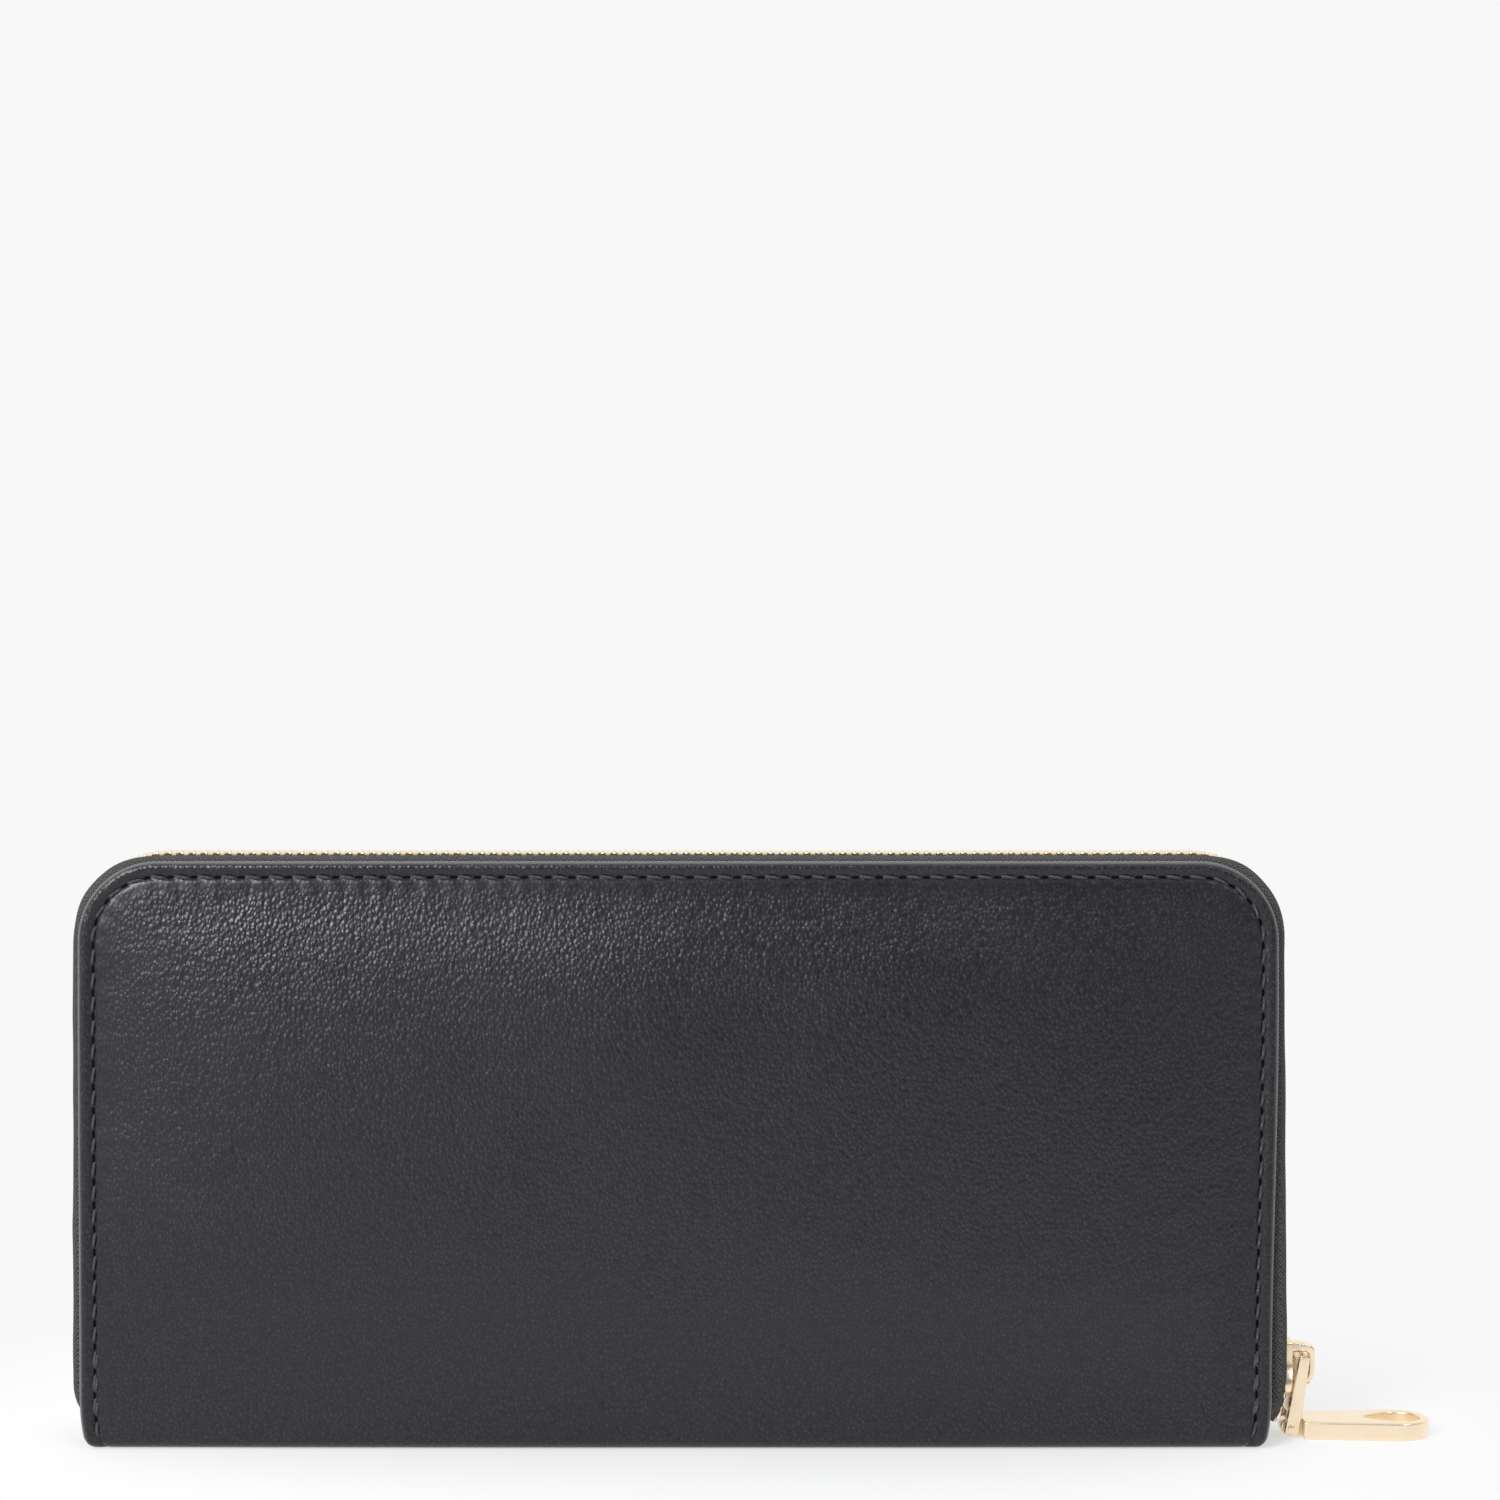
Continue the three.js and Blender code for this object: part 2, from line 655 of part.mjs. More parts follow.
// What is dressed off beside the bar, to bring the legs down to the bar's own thickness.
function linkShoulders(x, side) {
  const depth = linkBarRadius * 2;
  return [-1, 1].map((sign) => {
    const inner = sign * linkBarRadius;
    const outer = sign * (x + 1);
    return box(Math.min(inner, outer), Math.max(inner, outer), -side - 1, side + 1, -depth, depth);
  });
}

function tab() {
  const shoulder = pinX + tabShoulder;
  const end = pinX + tabLength;
  const round = tabEnd / 2;
  const plan = new THREE.Shape();
  plan.moveTo(shoulder, -tabNeck / 2);
  plan.lineTo(end - round, -round);
  plan.absarc(end - round, 0, round, -Math.PI / 2, Math.PI / 2);
  plan.lineTo(shoulder, tabNeck / 2);
  const eye = new THREE.Path();
  const eyeX = end - eyeRim - eyeRadius;
  eye.absarc(eyeX, 0, eyeRadius, -Math.PI * 0.6, Math.PI * 0.6);
  eye.absarc(eyeX - eyeTaper, 0, eyeTip, Math.PI * 0.6, Math.PI * 1.4);
  const plate = extrude("Z", plan, 0, tabThickness, [eye]);
  const half = tongueWidth / 2;
  const neck = box(pinX, shoulder + 0.5, -half, half, 0, tabThickness);
  const knuckle = rod(tongueRadius, tongueWidth).translate(pinX, 0, pinZ);
  const hole = rod(pinRadius + pinClearance, tongueWidth + 2).translate(pinX, 0, pinZ);
  return cut(join(plate, neck, knuckle), hole);
}

function pull() {
  add("zip_slider", sliderBody(), "gold");
  add("slider_crown", crown(), "gold");
  const spring = box(crownFoot, crownFoot + 0.2, -0.7, 0.7, crownBottom + 1.4, crownTop - 1.4);
  add("slider_lock_spring", spring, "gold");
  const hanging = new THREE.Group();
  hanging.position.set(barX, 0, barZ);
  hanging.rotation.y = lean;
  wallet.add(hanging);
  add("pull_link", link(), "gold", hanging);
  const pin = add("link_pin", rod(pinRadius, linkWidth), "gold", hanging);
  pin.position.z = -linkReach;
  add("pull_tab", tab(), "gold");
}

// ---------- coin pocket ----------
function coinTape(side) {
  const leg = coinOuter + layerGap + tape / 2;
  const line = [
    [coilHalf + layerGap, coinZipHeight],
    [coinSliderHalf + 0.4, coinZipHeight],
    [coinSliderHalf + 0.7, coinZipHeight - 0.7],
    [leg, coinTop - 2],
    [leg, coinTop - 8],
  ];
  const outline = thicken(line, tape).map(({ x, y }) => new THREE.Vector2(side * x, y));
  return extrude("X", outline, -coinTapeWidth / 2, coinTapeWidth / 2);
}

const coinSliderHalf = coilHalf + sliderClearance + 1 + coinFlange;
const coinSliderX = coilLength / 2 - 4; // the slider's closed end hides the end of the coil
const coinPivotX = coinSliderX + coinSliderLength * 0.42;
const coinBridgeTop = coinZipHeight + coilHeight / 2 + sliderClearance + coinPlate + coinBridgeHeight;

function coinSlider() {
  const inside = coilHeight / 2 + sliderClearance;
  const reach = inside + coinPlate;
  const end = coinSliderX + coinSliderLength;
  const z = coinZipHeight;
  const block = box(coinSliderX, end, -coinSliderHalf, coinSliderHalf, z - reach, z + reach);
  const bore = coinSliderHalf - coinFlange;
  const channel = box(coinSliderX - 1, end + 1, -bore, bore, z - inside, z + inside);
  const slit = box(coinSliderX - 1, end + 1, -20, 20, z - slotHalf, z + slotHalf);
  const wedge = box(end - 3, end - 0.6, -wedgeHalf, wedgeHalf, z - reach + 0.1, z + reach - 0.1);
  const top = z + reach - 0.1;
  const bridgeEnd = end - 1;
  const bridge = cut(
    box(coinSliderX + 1, bridgeEnd, -0.9, 0.9, top, coinBridgeTop),
    box(coinSliderX + 1.9, bridgeEnd - 0.9, -2, 2, top + 0.3, coinBridgeTop - 0.7),
  );
  return join(cut(block, channel, slit), wedge, bridge);
}

// The coin tab lies along the closed coil, its ring round the bridge.
const coinBar = 0.5;
const coinTabZ = coinBridgeTop - 0.7 - coinBar * Math.SQRT2 - 0.1;
function coinPull() {
  const half = coinTabWidth / 2;
  const right = coinPivotX + coinBar;
  const plan = [
    [right, -half + 0.6],
    [right, half - 0.6],
    [right - 5, half],
    [right - coinTabLength, half],
    [right - coinTabLength, -half],
    [right - 5, -half],
  ].map(([x, y]) => new THREE.Vector2(x, y));
  const ring = new THREE.Path([
    [right - 2 * coinBar, -1.15],
    [right - 2 * coinBar, 1.15],
    [coinSliderX - 0.6, 1.15],
    [coinSliderX - 0.6, -1.15],
  ].map(([x, y]) => new THREE.Vector2(x, y)));
  return extrude("Z", plan, coinTabZ - coinTab / 2, coinTabZ + coinTab / 2, [ring]);
}

function coinPocket() {
  const half = coinWidth / 2;
  const bottom = pocketBottom - 0.8;
  const bagOut = coinHalf - layerGap;
  const bagLine = [
    [-bagOut, coinTop - 2],
    [-bagOut, bottom + 1],
    [bagOut, bottom + 1],
    [bagOut, coinTop - 2],
    [bagOut - bag, coinTop - 2],
    [bagOut - bag, bottom + 1 + bag],
    [bag - bagOut, bottom + 1 + bag],
    [bag - bagOut, coinTop - 2],
  ].map(([y, z]) => new THREE.Vector2(y, z));
  add("coin_pocket_bag", extrude("X", bagLine, -half + 2, half - 2), "lining");
  for (const [name, side] of [["rear", -1], ["front", 1]]) {
    const from = side > 0 ? coinHalf : -coinOuter;
    add(`coin_pocket_${name}_wall`, box(-half, half, from, from + coinWall, bottom, coinTop), "leather");
    add(`coin_zip_${name}_tape`, coinTape(side), "tape");
    const inner = side > 0 ? layerGap / 2 : -coilHalf;
    const low = coinZipHeight - coilHeight / 2;
    const coil = box(
      -coilLength / 2, coilLength / 2,
      inner, inner + coilHalf - layerGap / 2,
      low, low + coilHeight,
    );
    add(`coin_zip_${name}_coil`, coil, "nylon");
  }
  add("coin_zip_slider", coinSlider(), "gold");
  add("coin_pull_tab", coinPull(), "gold");
}

spine();
half("rear", -1);
half("front", 1);
pull();
coinPocket();

export default wallet;
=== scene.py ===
# %% [markdown]
# # A zip around wallet
# This notebook dresses a zip around wallet that stands shut on its spine. The frame is a set of plain
# solids that move on joints, and the cells below build the pieces of the real thing over them. The
# wallet is padded black leather with a gold zip, and its zip pull lies folded out on the table.

import json
import math

import bpy
import numpy as np
from mathutils.geometry import tessellate_polygon
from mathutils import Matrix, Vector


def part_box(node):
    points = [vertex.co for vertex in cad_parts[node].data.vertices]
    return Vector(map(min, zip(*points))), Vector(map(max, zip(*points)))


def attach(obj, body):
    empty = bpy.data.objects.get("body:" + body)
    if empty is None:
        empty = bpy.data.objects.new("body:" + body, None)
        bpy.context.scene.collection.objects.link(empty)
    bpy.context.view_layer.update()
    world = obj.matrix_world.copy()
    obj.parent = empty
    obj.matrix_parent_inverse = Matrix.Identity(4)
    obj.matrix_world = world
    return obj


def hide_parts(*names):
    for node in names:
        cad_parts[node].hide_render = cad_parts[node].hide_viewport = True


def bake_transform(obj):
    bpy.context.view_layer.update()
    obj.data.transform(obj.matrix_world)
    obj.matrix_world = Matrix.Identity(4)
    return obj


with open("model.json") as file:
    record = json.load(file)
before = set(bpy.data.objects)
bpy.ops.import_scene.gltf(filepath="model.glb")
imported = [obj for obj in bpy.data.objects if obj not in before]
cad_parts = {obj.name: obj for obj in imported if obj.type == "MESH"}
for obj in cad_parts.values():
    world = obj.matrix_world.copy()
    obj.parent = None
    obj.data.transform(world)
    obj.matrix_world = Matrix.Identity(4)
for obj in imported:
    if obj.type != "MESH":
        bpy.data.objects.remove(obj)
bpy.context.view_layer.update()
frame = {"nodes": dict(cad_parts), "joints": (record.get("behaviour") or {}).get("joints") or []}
MM = 0.001


# %% [markdown]
# ## Sizes
# The pieces have to meet the frame, so their sizes are read from its solids. Shapes are worked out in
# millimetres, because leather and zips are measured in them, and become metres when a mesh is made.

# %% Read the sizes
def box_mm(node):
    low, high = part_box(node)
    return np.array(low) / MM, np.array(high) / MM


cover_high = box_mm("front_cover")[1]
spine_high = box_mm("spine_leather")[1]
half_width = cover_high[0]
cover_top = cover_high[2]
rim_outer = spine_high[1]
heel_radius = spine_high[2]
corner_radius = 13.0
leather_thickness = 1.7
stitch_inset = 2.6
stitch_pitch = 3.86
print(f"cover {2 * half_width:.0f} x {cover_top:.0f} mm, {2 * rim_outer:.1f} mm thick at the rim")


# %% [markdown]
# ## Surfaces from grids
# Every new piece is a grid of points worked out by a formula. A grid needs only its size to know its
# faces, so one helper makes the faces of all of them. A shape here is a pair: its points and its faces.

# %% Grid helpers
def grid_faces(rows, columns, close_columns=False):
    """Four-sided faces of a grid numbered row by row; the last column may join the first."""
    r = np.arange(rows - 1)
    c = np.arange(columns if close_columns else columns - 1)
    r, c = np.meshgrid(r, c, indexing="ij")
    right = (c + 1) % columns
    corners = [r * columns + c, r * columns + right, (r + 1) * columns + right, (r + 1) * columns + c]
    return np.stack(corners, -1).reshape(-1, 4)


def closed_volume(points, faces):
    """Six times the volume inside: each face is a fan of triangles, each with the origin a pyramid."""
    total = 0.0
    for group in faces:
        a = points[group[:, 0]]
        for k in range(1, group.shape[1] - 1):
            b, c = points[group[:, k]], points[group[:, k + 1]]
            total += float((a * np.cross(b, c)).sum())
    return total


def outward(shape):
    """The same shape with its faces turned to point out of it."""
    points, faces = shape
    if closed_volume(points, faces) < 0:
        faces = [group[:, ::-1] for group in faces]
    return points, faces


def together(shapes):
    """Several closed shapes as one."""
    points, faces, start = [], [], 0
    for shape_points, shape_faces in map(outward, shapes):
        points.append(shape_points)
        faces += [group + start for group in shape_faces]
        start += len(shape_points)
    return np.concatenate(points), faces


def loft(rings):
    """A skin over rings of points (ring, point, xyz), closed by a flat face on the first and last."""
    count, size = rings.shape[:2]
    caps = np.arange(size)[None], np.arange(size)[None, ::-1] + (count - 1) * size
    return rings.reshape(-1, 3), [grid_faces(count, size, True), *caps]


def copies(rings):
    """Many lofts at once, from rings of points (copy, ring, point, xyz)."""
    number, count, size = rings.shape[:3]
    points, faces = loft(rings[0])
    if closed_volume(points, faces) < 0:
        faces = [group[:, ::-1] for group in faces]
    start = (np.arange(number) * count * size)[:, None, None]
    return rings.reshape(-1, 3), [(group[None] + start).reshape(-1, group.shape[1]) for group in faces]


# %% [markdown]
# ## From a shape to a piece
# A piece is a mesh object at the origin. Its points keep their place in the frame, so patterns that
# read Object coordinates stay put. Smooth shading with sharp creases past an angle suits both cloth and
# metal, and a weighted normal keeps the flats of the metal flat beside their rounded edges.

# %% Piece helper
def piece(name, shape, material, body=None, uv=None, masks=None, smooth=40, flats=False):
    """Makes a mesh object from a shape in millimetres. uv and masks hold one value for each point."""
    points, faces = shape
    if closed_volume(points, faces) < 0:
        faces = [group[:, ::-1] for group in faces]
    mesh = bpy.data.meshes.new(name)
    mesh.from_pydata((points * MM).tolist(), [], [face for group in faces for face in group.tolist()])
    for key, values in (masks or {}).items():
        mesh.attributes.new(key, "FLOAT", "POINT").data.foreach_set("value", values.astype(np.float32))
    if uv is not None:
        corner = np.zeros(len(mesh.loops), np.int32)
        mesh.loops.foreach_get("vertex_index", corner)
        mesh.uv_layers.new(name="UVMap").data.foreach_set("uv", uv[corner].astype(np.float32).ravel())
    for m in material if isinstance(material, list) else [material]:
        mesh.materials.append(m)
    mesh.shade_smooth()
    mesh.set_sharp_from_angle(angle=math.radians(smooth))
    made = bpy.data.objects.new(name, mesh)
    bpy.context.scene.collection.objects.link(made)
    if flats:
        made.modifiers.new("flats", "WEIGHTED_NORMAL").keep_sharp = True
    if body:
        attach(made, body)
    low, high = points.min(0), points.max(0)
    print(f"{name}: {len(mesh.polygons)} faces, {np.round(high - low, 1)} mm")
    return made


# %% [markdown]
# ## Shared surface effects
# Leather grain, woven cloth and handling wear each show on more than one material, so each is a node
# group with its own scale. A group only works out values; the Principled shader stays in the material.

# %% Node tools
def new_group(name, inputs, outputs):
    """An empty shader group with float inputs {name: default} and the named float outputs."""
    group = bpy.data.node_groups.new(name, "ShaderNodeTree")
    for key, default in inputs.items():
        socket = group.interface.new_socket(key, in_out="INPUT", socket_type="NodeSocketFloat")
        socket.default_value = default
    for key in outputs:
        group.interface.new_socket(key, in_out="OUTPUT", socket_type="NodeSocketFloat")
    return group, group.nodes.new("NodeGroupInput"), group.nodes.new("NodeGroupOutput")


def wire(tree, source, target):
    tree.links.new(source, target)


def maths(tree, operation, a, b=None, clamp=False):
    """A Math node; a and b are numbers or sockets."""
    node = tree.nodes.new("ShaderNodeMath")
    node.operation = operation
    node.use_clamp = clamp
    for socket, value in zip(node.inputs, (a, b)):
        if isinstance(value, (int, float)):
            socket.default_value = value
        elif value is not None:
            wire(tree, value, socket)
    return node.outputs[0]


def noise(tree, vector, scale, detail=2.0, roughness=0.5):
    node = tree.nodes.new("ShaderNodeTexNoise")
    wire(tree, vector, node.inputs["Vector"])
    if isinstance(scale, (int, float)):
        node.inputs["Scale"].default_value = scale
    else:
        wire(tree, scale, node.inputs["Scale"])
    node.inputs["Detail"].default_value = detail
    node.inputs["Roughness"].default_value = roughness
    return node


def object_coordinates(tree, stretch=(1, 1, 1)):
    """Object coordinates in metres, drawn out along an axis by a share below one."""
    mapping = tree.nodes.new("ShaderNodeMapping")
    mapping.inputs["Scale"].default_value = stretch
    coordinates = tree.nodes.new("ShaderNodeTexCoord")
    wire(tree, coordinates.outputs["Object"], mapping.inputs["Vector"])
    return mapping.outputs["Vector"]


# %% [markdown]
# ## Grain
# Calf leather that has been plated shows fine cells about half a millimetre across, with thin creases
# between them that run together into longer lines. A smooth Voronoi texture gives each cell a low dome, a
# second one's distance to the nearest edge says where the creases are, and a broader noise lifts and
# drops whole runs of cells. Bending the coordinates with noise keeps it from looking like a honeycomb.

# %% The grain group
bend_scale, bend_by = 900.0, 0.0005
run_scale, run_depth = 380.0, 0.9
grain_group, grain_in, grain_out = new_group("leather grain", {"Cells per metre": 1700.0}, ["Height", "Cell"])
bent = noise(grain_group, object_coordinates(grain_group, (1, 1, 0.8)), bend_scale)
shift = grain_group.nodes.new("ShaderNodeVectorMath")
shift.operation = "MULTIPLY_ADD"
wire(grain_group, bent.outputs["Color"], shift.inputs[0])
shift.inputs[1].default_value = (bend_by, bend_by, bend_by)
wire(grain_group, object_coordinates(grain_group, (1, 1, 0.72)), shift.inputs[2])
cells = grain_group.nodes.new("ShaderNodeTexVoronoi")
cells.feature = "DISTANCE_TO_EDGE"
domes = grain_group.nodes.new("ShaderNodeTexVoronoi")
domes.feature = "SMOOTH_F1"
domes.inputs["Smoothness"].default_value = 0.35
for texture in (cells, domes):
    wire(grain_group, shift.outputs[0], texture.inputs["Vector"])
    wire(grain_group, grain_in.outputs["Cells per metre"], texture.inputs["Scale"])
runs = noise(grain_group, object_coordinates(grain_group, (0.5, 1, 1)), run_scale)
run_height = maths(grain_group, "MULTIPLY", runs.outputs["Fac"], run_depth)
cell_inside = maths(grain_group, "MULTIPLY", cells.outputs["Distance"], 3.0, clamp=True)
cell_height = maths(grain_group, "SUBTRACT", 1.0, domes.outputs["Distance"])
wire(grain_group, maths(grain_group, "ADD", cell_height, run_height), grain_out.inputs["Height"])
wire(grain_group, cell_inside, grain_out.inputs["Cell"])
print("grain group:", len(grain_group.nodes), "nodes")

# %% [markdown]
# ## Weave
# Zip tape and lining are woven. Two sets of sine ridges at right angles, taken over and under each
# other, make a plain weave from a piece's own UV map, which is laid out in millimetres along and across
# the cloth.

# %% The weave group
weave_group, weave_in, weave_out = new_group("weave", {"Threads per mm": 2.4}, ["Height"])
weave_uv = weave_group.nodes.new("ShaderNodeTexCoord")
weave_axes = weave_group.nodes.new("ShaderNodeSeparateXYZ")
wire(weave_group, weave_uv.outputs["UV"], weave_axes.inputs[0])
turns = maths(weave_group, "MULTIPLY", weave_in.outputs["Threads per mm"], math.pi)
along = maths(weave_group, "MULTIPLY", weave_axes.outputs["X"], turns)
across = maths(weave_group, "MULTIPLY", weave_axes.outputs["Y"], turns)
warp, weft = (maths(weave_group, "ABSOLUTE",
                    maths(weave_group, "SINE", maths(weave_group, operation, along, across)))
              for operation in ("ADD", "SUBTRACT"))
over = maths(weave_group, "SINE", maths(weave_group, "MULTIPLY", along, 0.5))
under = maths(weave_group, "SINE", maths(weave_group, "MULTIPLY", across, 0.5))
side_up = maths(weave_group, "GREATER_THAN", maths(weave_group, "MULTIPLY", over, under), 0.0)
picked = weave_group.nodes.new("ShaderNodeMix")
picked.data_type = "FLOAT"
wire(weave_group, side_up, picked.inputs[0])
wire(weave_group, warp, picked.inputs[2])
wire(weave_group, weft, picked.inputs[3])
wire(weave_group, picked.outputs[0], weave_out.inputs["Height"])
print("weave group:", len(weave_group.nodes), "nodes")

# %% [markdown]
# ## Handling
# Fingers leave every finish a little uneven: duller here, shinier there, over a few millimetres. One soft
# noise with its own scale varies the roughness of leather, metal and cloth alike.

# %% The handling group
handling_group, handling_in, handling_out = new_group("handling", {"Patches per metre": 60.0}, ["Mask"])
patches = noise(handling_group, object_coordinates(handling_group), 60.0, 4.0, 0.6)
wire(handling_group, handling_in.outputs["Patches per metre"], patches.inputs["Scale"])
spread_out = handling_group.nodes.new("ShaderNodeMapRange")
spread_out.inputs["From Min"].default_value = 0.3
spread_out.inputs["From Max"].default_value = 0.7
wire(handling_group, patches.outputs["Fac"], spread_out.inputs["Value"])
wire(handling_group, spread_out.outputs["Result"], handling_out.inputs["Mask"])
print("handling group:", len(handling_group.nodes), "nodes")


# %% [markdown]
# ## Finishes
# Each finish starts from one helper that places the Principled shader and can add a bump, a group or a
# blend of two colours. Values that are the same all over stay on the shader's own sockets.

# %% Material helpers
def finish(name, color, roughness, metallic=0.0, **sockets):
    """A material with its Principled shader set, ready for nodes."""
    material = bpy.data.materials.new(name)
    material.use_nodes = True
    tree = material.node_tree
    shader = tree.nodes["Principled BSDF"]
    shader.inputs["Base Color"].default_value = (*color, 1)
    shader.inputs["Roughness"].default_value = roughness
    shader.inputs["Metallic"].default_value = metallic
    for key, value in sockets.items():
        shader.inputs[key.replace("_", " ")].default_value = value
    return material, tree, shader


def use_group(tree, group, **values):
    node = tree.nodes.new("ShaderNodeGroup")
    node.node_tree = group
    for key, value in values.items():
        node.inputs[key.replace("_", " ")].default_value = value
    return node


def add_bump(tree, shader, height, depth_mm, strength=1.0):
    node = tree.nodes.new("ShaderNodeBump")
    node.inputs["Distance"].default_value = depth_mm * MM
    node.inputs["Strength"].default_value = strength
    wire(tree, height, node.inputs["Height"])
    wire(tree, node.outputs["Normal"], shader.inputs["Normal"])


def blend_colors(tree, factor, first, second):
    """A Mix node between two colours, or sockets; returns its colour."""
    node = tree.nodes.new("ShaderNodeMix")
    node.data_type = "RGBA"
    wire(tree, factor, node.inputs[0])
    for socket, value in ((node.inputs[6], first), (node.inputs[7], second)):
        if isinstance(value, tuple):
            socket.default_value = (*value, 1)
        else:
            wire(tree, value, socket)
    return node.outputs[2]


def vary(tree, mask, target, low, high):
    """Sends a mask, spread from low to high, to a shader socket."""
    node = tree.nodes.new("ShaderNodeMapRange")
    node.inputs["To Min"].default_value = low
    node.inputs["To Max"].default_value = high
    wire(tree, mask, node.inputs["Value"])
    wire(tree, node.outputs["Result"], target)


def mask_of(tree, name):
    node = tree.nodes.new("ShaderNodeAttribute")
    node.attribute_name = name
    return node.outputs["Fac"]


# %% [markdown]
# ## Cover leather
# The covers are black calf with a cool cast and a semi-matt plated finish. The crests of the grain catch
# the light and the creases stay dark. Along the stitch line the leather is pulled down into a groove, and
# the groove's shade is painted into the colour as a darker band. The rolled edge is smoother, and painted
# paler as a highlight. Beside the stitches the sewing foot has ironed the grain flatter. Those three
# places are masks that the cover's mesh carries.

# %% Cover leather
leather, tree, shader = finish("cover leather", (0.01, 0.01, 0.012), 0.34, Specular_IOR_Level=0.5,
                               Specular_Tint=(0.95, 0.95, 1.0, 1))
grain = use_group(tree, grain_group)
handled = use_group(tree, handling_group, Patches_per_metre=45.0)
grain_color = blend_colors(tree, grain.outputs["Cell"], (0.0015, 0.0015, 0.002), (0.0155, 0.0150, 0.0190))
# Painted highlight: along the edge mask the rolled edge's colour is made paler.
edge_highlight_color = blend_colors(tree, mask_of(tree, "edge"), grain_color, (0.11, 0.11, 0.115))
# Painted shade: the groove along the stitch line is darkened in the colour.
groove_shade_color = blend_colors(tree, mask_of(tree, "groove_shade"), edge_highlight_color, (0.0025, 0.0025, 0.003))
wire(tree, groove_shade_color, shader.inputs["Base Color"])
vary(tree, handled.outputs["Mask"], shader.inputs["Roughness"], 0.31, 0.38)
ironed = maths(tree, "MULTIPLY", mask_of(tree, "pressed"), 0.7)
smooth_edge = maths(tree, "SUBTRACT", 1.0, maths(tree, "MAXIMUM", mask_of(tree, "edge"), ironed))
add_bump(tree, shader, maths(tree, "MULTIPLY", grain.outputs["Height"], smooth_edge), 0.096)
print("cover leather:", len(tree.nodes), "nodes")

# %% [markdown]
# ## Pocket leather, lining and tape
# The pockets inside are split thinner from the same leather. The lining is a fine black cloth. The zip
# tape is coarser, a warm charcoal that is a touch lighter than the leather.

# %% Soft finishes
pocket_leather, tree, shader = finish("pocket leather", (0.024, 0.024, 0.027), 0.5)
grain = use_group(tree, grain_group, Cells_per_metre=2100.0)
handled = use_group(tree, handling_group, Patches_per_metre=80.0)
wire(tree, blend_colors(tree, grain.outputs["Cell"], (0.012, 0.012, 0.014), (0.03, 0.03, 0.034)),
     shader.inputs["Base Color"])
vary(tree, handled.outputs["Mask"], shader.inputs["Roughness"], 0.42, 0.58)
add_bump(tree, shader, grain.outputs["Height"], 0.035)


def cloth(name, low, high, threads, depth, sheen):
    """A woven cloth with a soft sheen: painted shade darkens it between its threads, and their crowns keep
    its own colour.
    """
    material, tree, shader = finish(name, high, 0.85, Sheen_Weight=sheen, Sheen_Roughness=0.5)
    weave = use_group(tree, weave_group, Threads_per_mm=threads)
    handled = use_group(tree, handling_group, Patches_per_metre=300.0)
    # Painted shade: the colour runs from dark between the threads to the cloth's own colour on their crowns.
    woven = blend_colors(tree, weave.outputs["Height"], low, high)
    worn = blend_colors(tree, handled.outputs["Mask"], woven, tuple(1.25 * v for v in high))
    softened = blend_colors(tree, maths(tree, "MULTIPLY", handled.outputs["Mask"], 0.35), woven, worn)
    wire(tree, softened, shader.inputs["Base Color"])
    vary(tree, handled.outputs["Mask"], shader.inputs["Roughness"], 0.78, 0.92)
    add_bump(tree, shader, weave.outputs["Height"], depth)
    return material


# Each cloth's first colour is the painted shade between its threads.
tape_cloth = cloth("zip tape cloth", (0.005, 0.005, 0.005), (0.078, 0.075, 0.070), 1.5, 0.5, 0.05)
lining_cloth = cloth("lining cloth", (0.006, 0.006, 0.007), (0.022, 0.022, 0.024), 4.0, 0.05, 0.15)
print("soft finishes:", [material.name for material in (pocket_leather, tape_cloth, lining_cloth)])

# %% [markdown]
# ## Thread
# The seams are sewn with a waxed twisted thread. Its UV map runs along and round each stitch, so a sine
# of the two together draws the plies winding round it, as a bump and as painted shade between the plies.

# %% Thread
thread, tree, shader = finish("waxed thread", (0.03, 0.03, 0.032), 0.42, Sheen_Weight=0.1)
uv = tree.nodes.new("ShaderNodeTexCoord")
axes = tree.nodes.new("ShaderNodeSeparateXYZ")
wire(tree, uv.outputs["UV"], axes.inputs[0])
winding = maths(tree, "ADD", maths(tree, "MULTIPLY", axes.outputs["X"], 9.0), axes.outputs["Y"])
plies = maths(tree, "ABSOLUTE", maths(tree, "SINE", winding))
# Painted shade: the colour is darker between the plies than on their crowns.
wire(tree, blend_colors(tree, plies, (0.003, 0.003, 0.0035), (0.04, 0.04, 0.044)),
     shader.inputs["Base Color"])
add_bump(tree, shader, plies, 0.06)
handled = use_group(tree, handling_group, Patches_per_metre=400.0)
vary(tree, handled.outputs["Mask"], shader.inputs["Roughness"], 0.34, 0.5)

# Painted shade: the needle holes are flat near-black patches standing in for the shade inside them.
hole_shade_finish, tree, shader = finish("needle hole shade", (0.0015, 0.0015, 0.0015), 0.9, Specular_IOR_Level=0.1)
handled = use_group(tree, handling_group, Patches_per_metre=900.0)
vary(tree, handled.outputs["Mask"], shader.inputs["Roughness"], 0.85, 1.0)
print("thread finishes:", [material.name for material in (thread, hole_shade_finish)])

# %% [markdown]
# ## Gold, steel, nylon and board
# The zip and its pull are brass plated a pale champagne gold. Polishing leaves faint lines, so a finely
# stretched noise gives the plate a very small bump, and handling varies how sharp its reflections are.

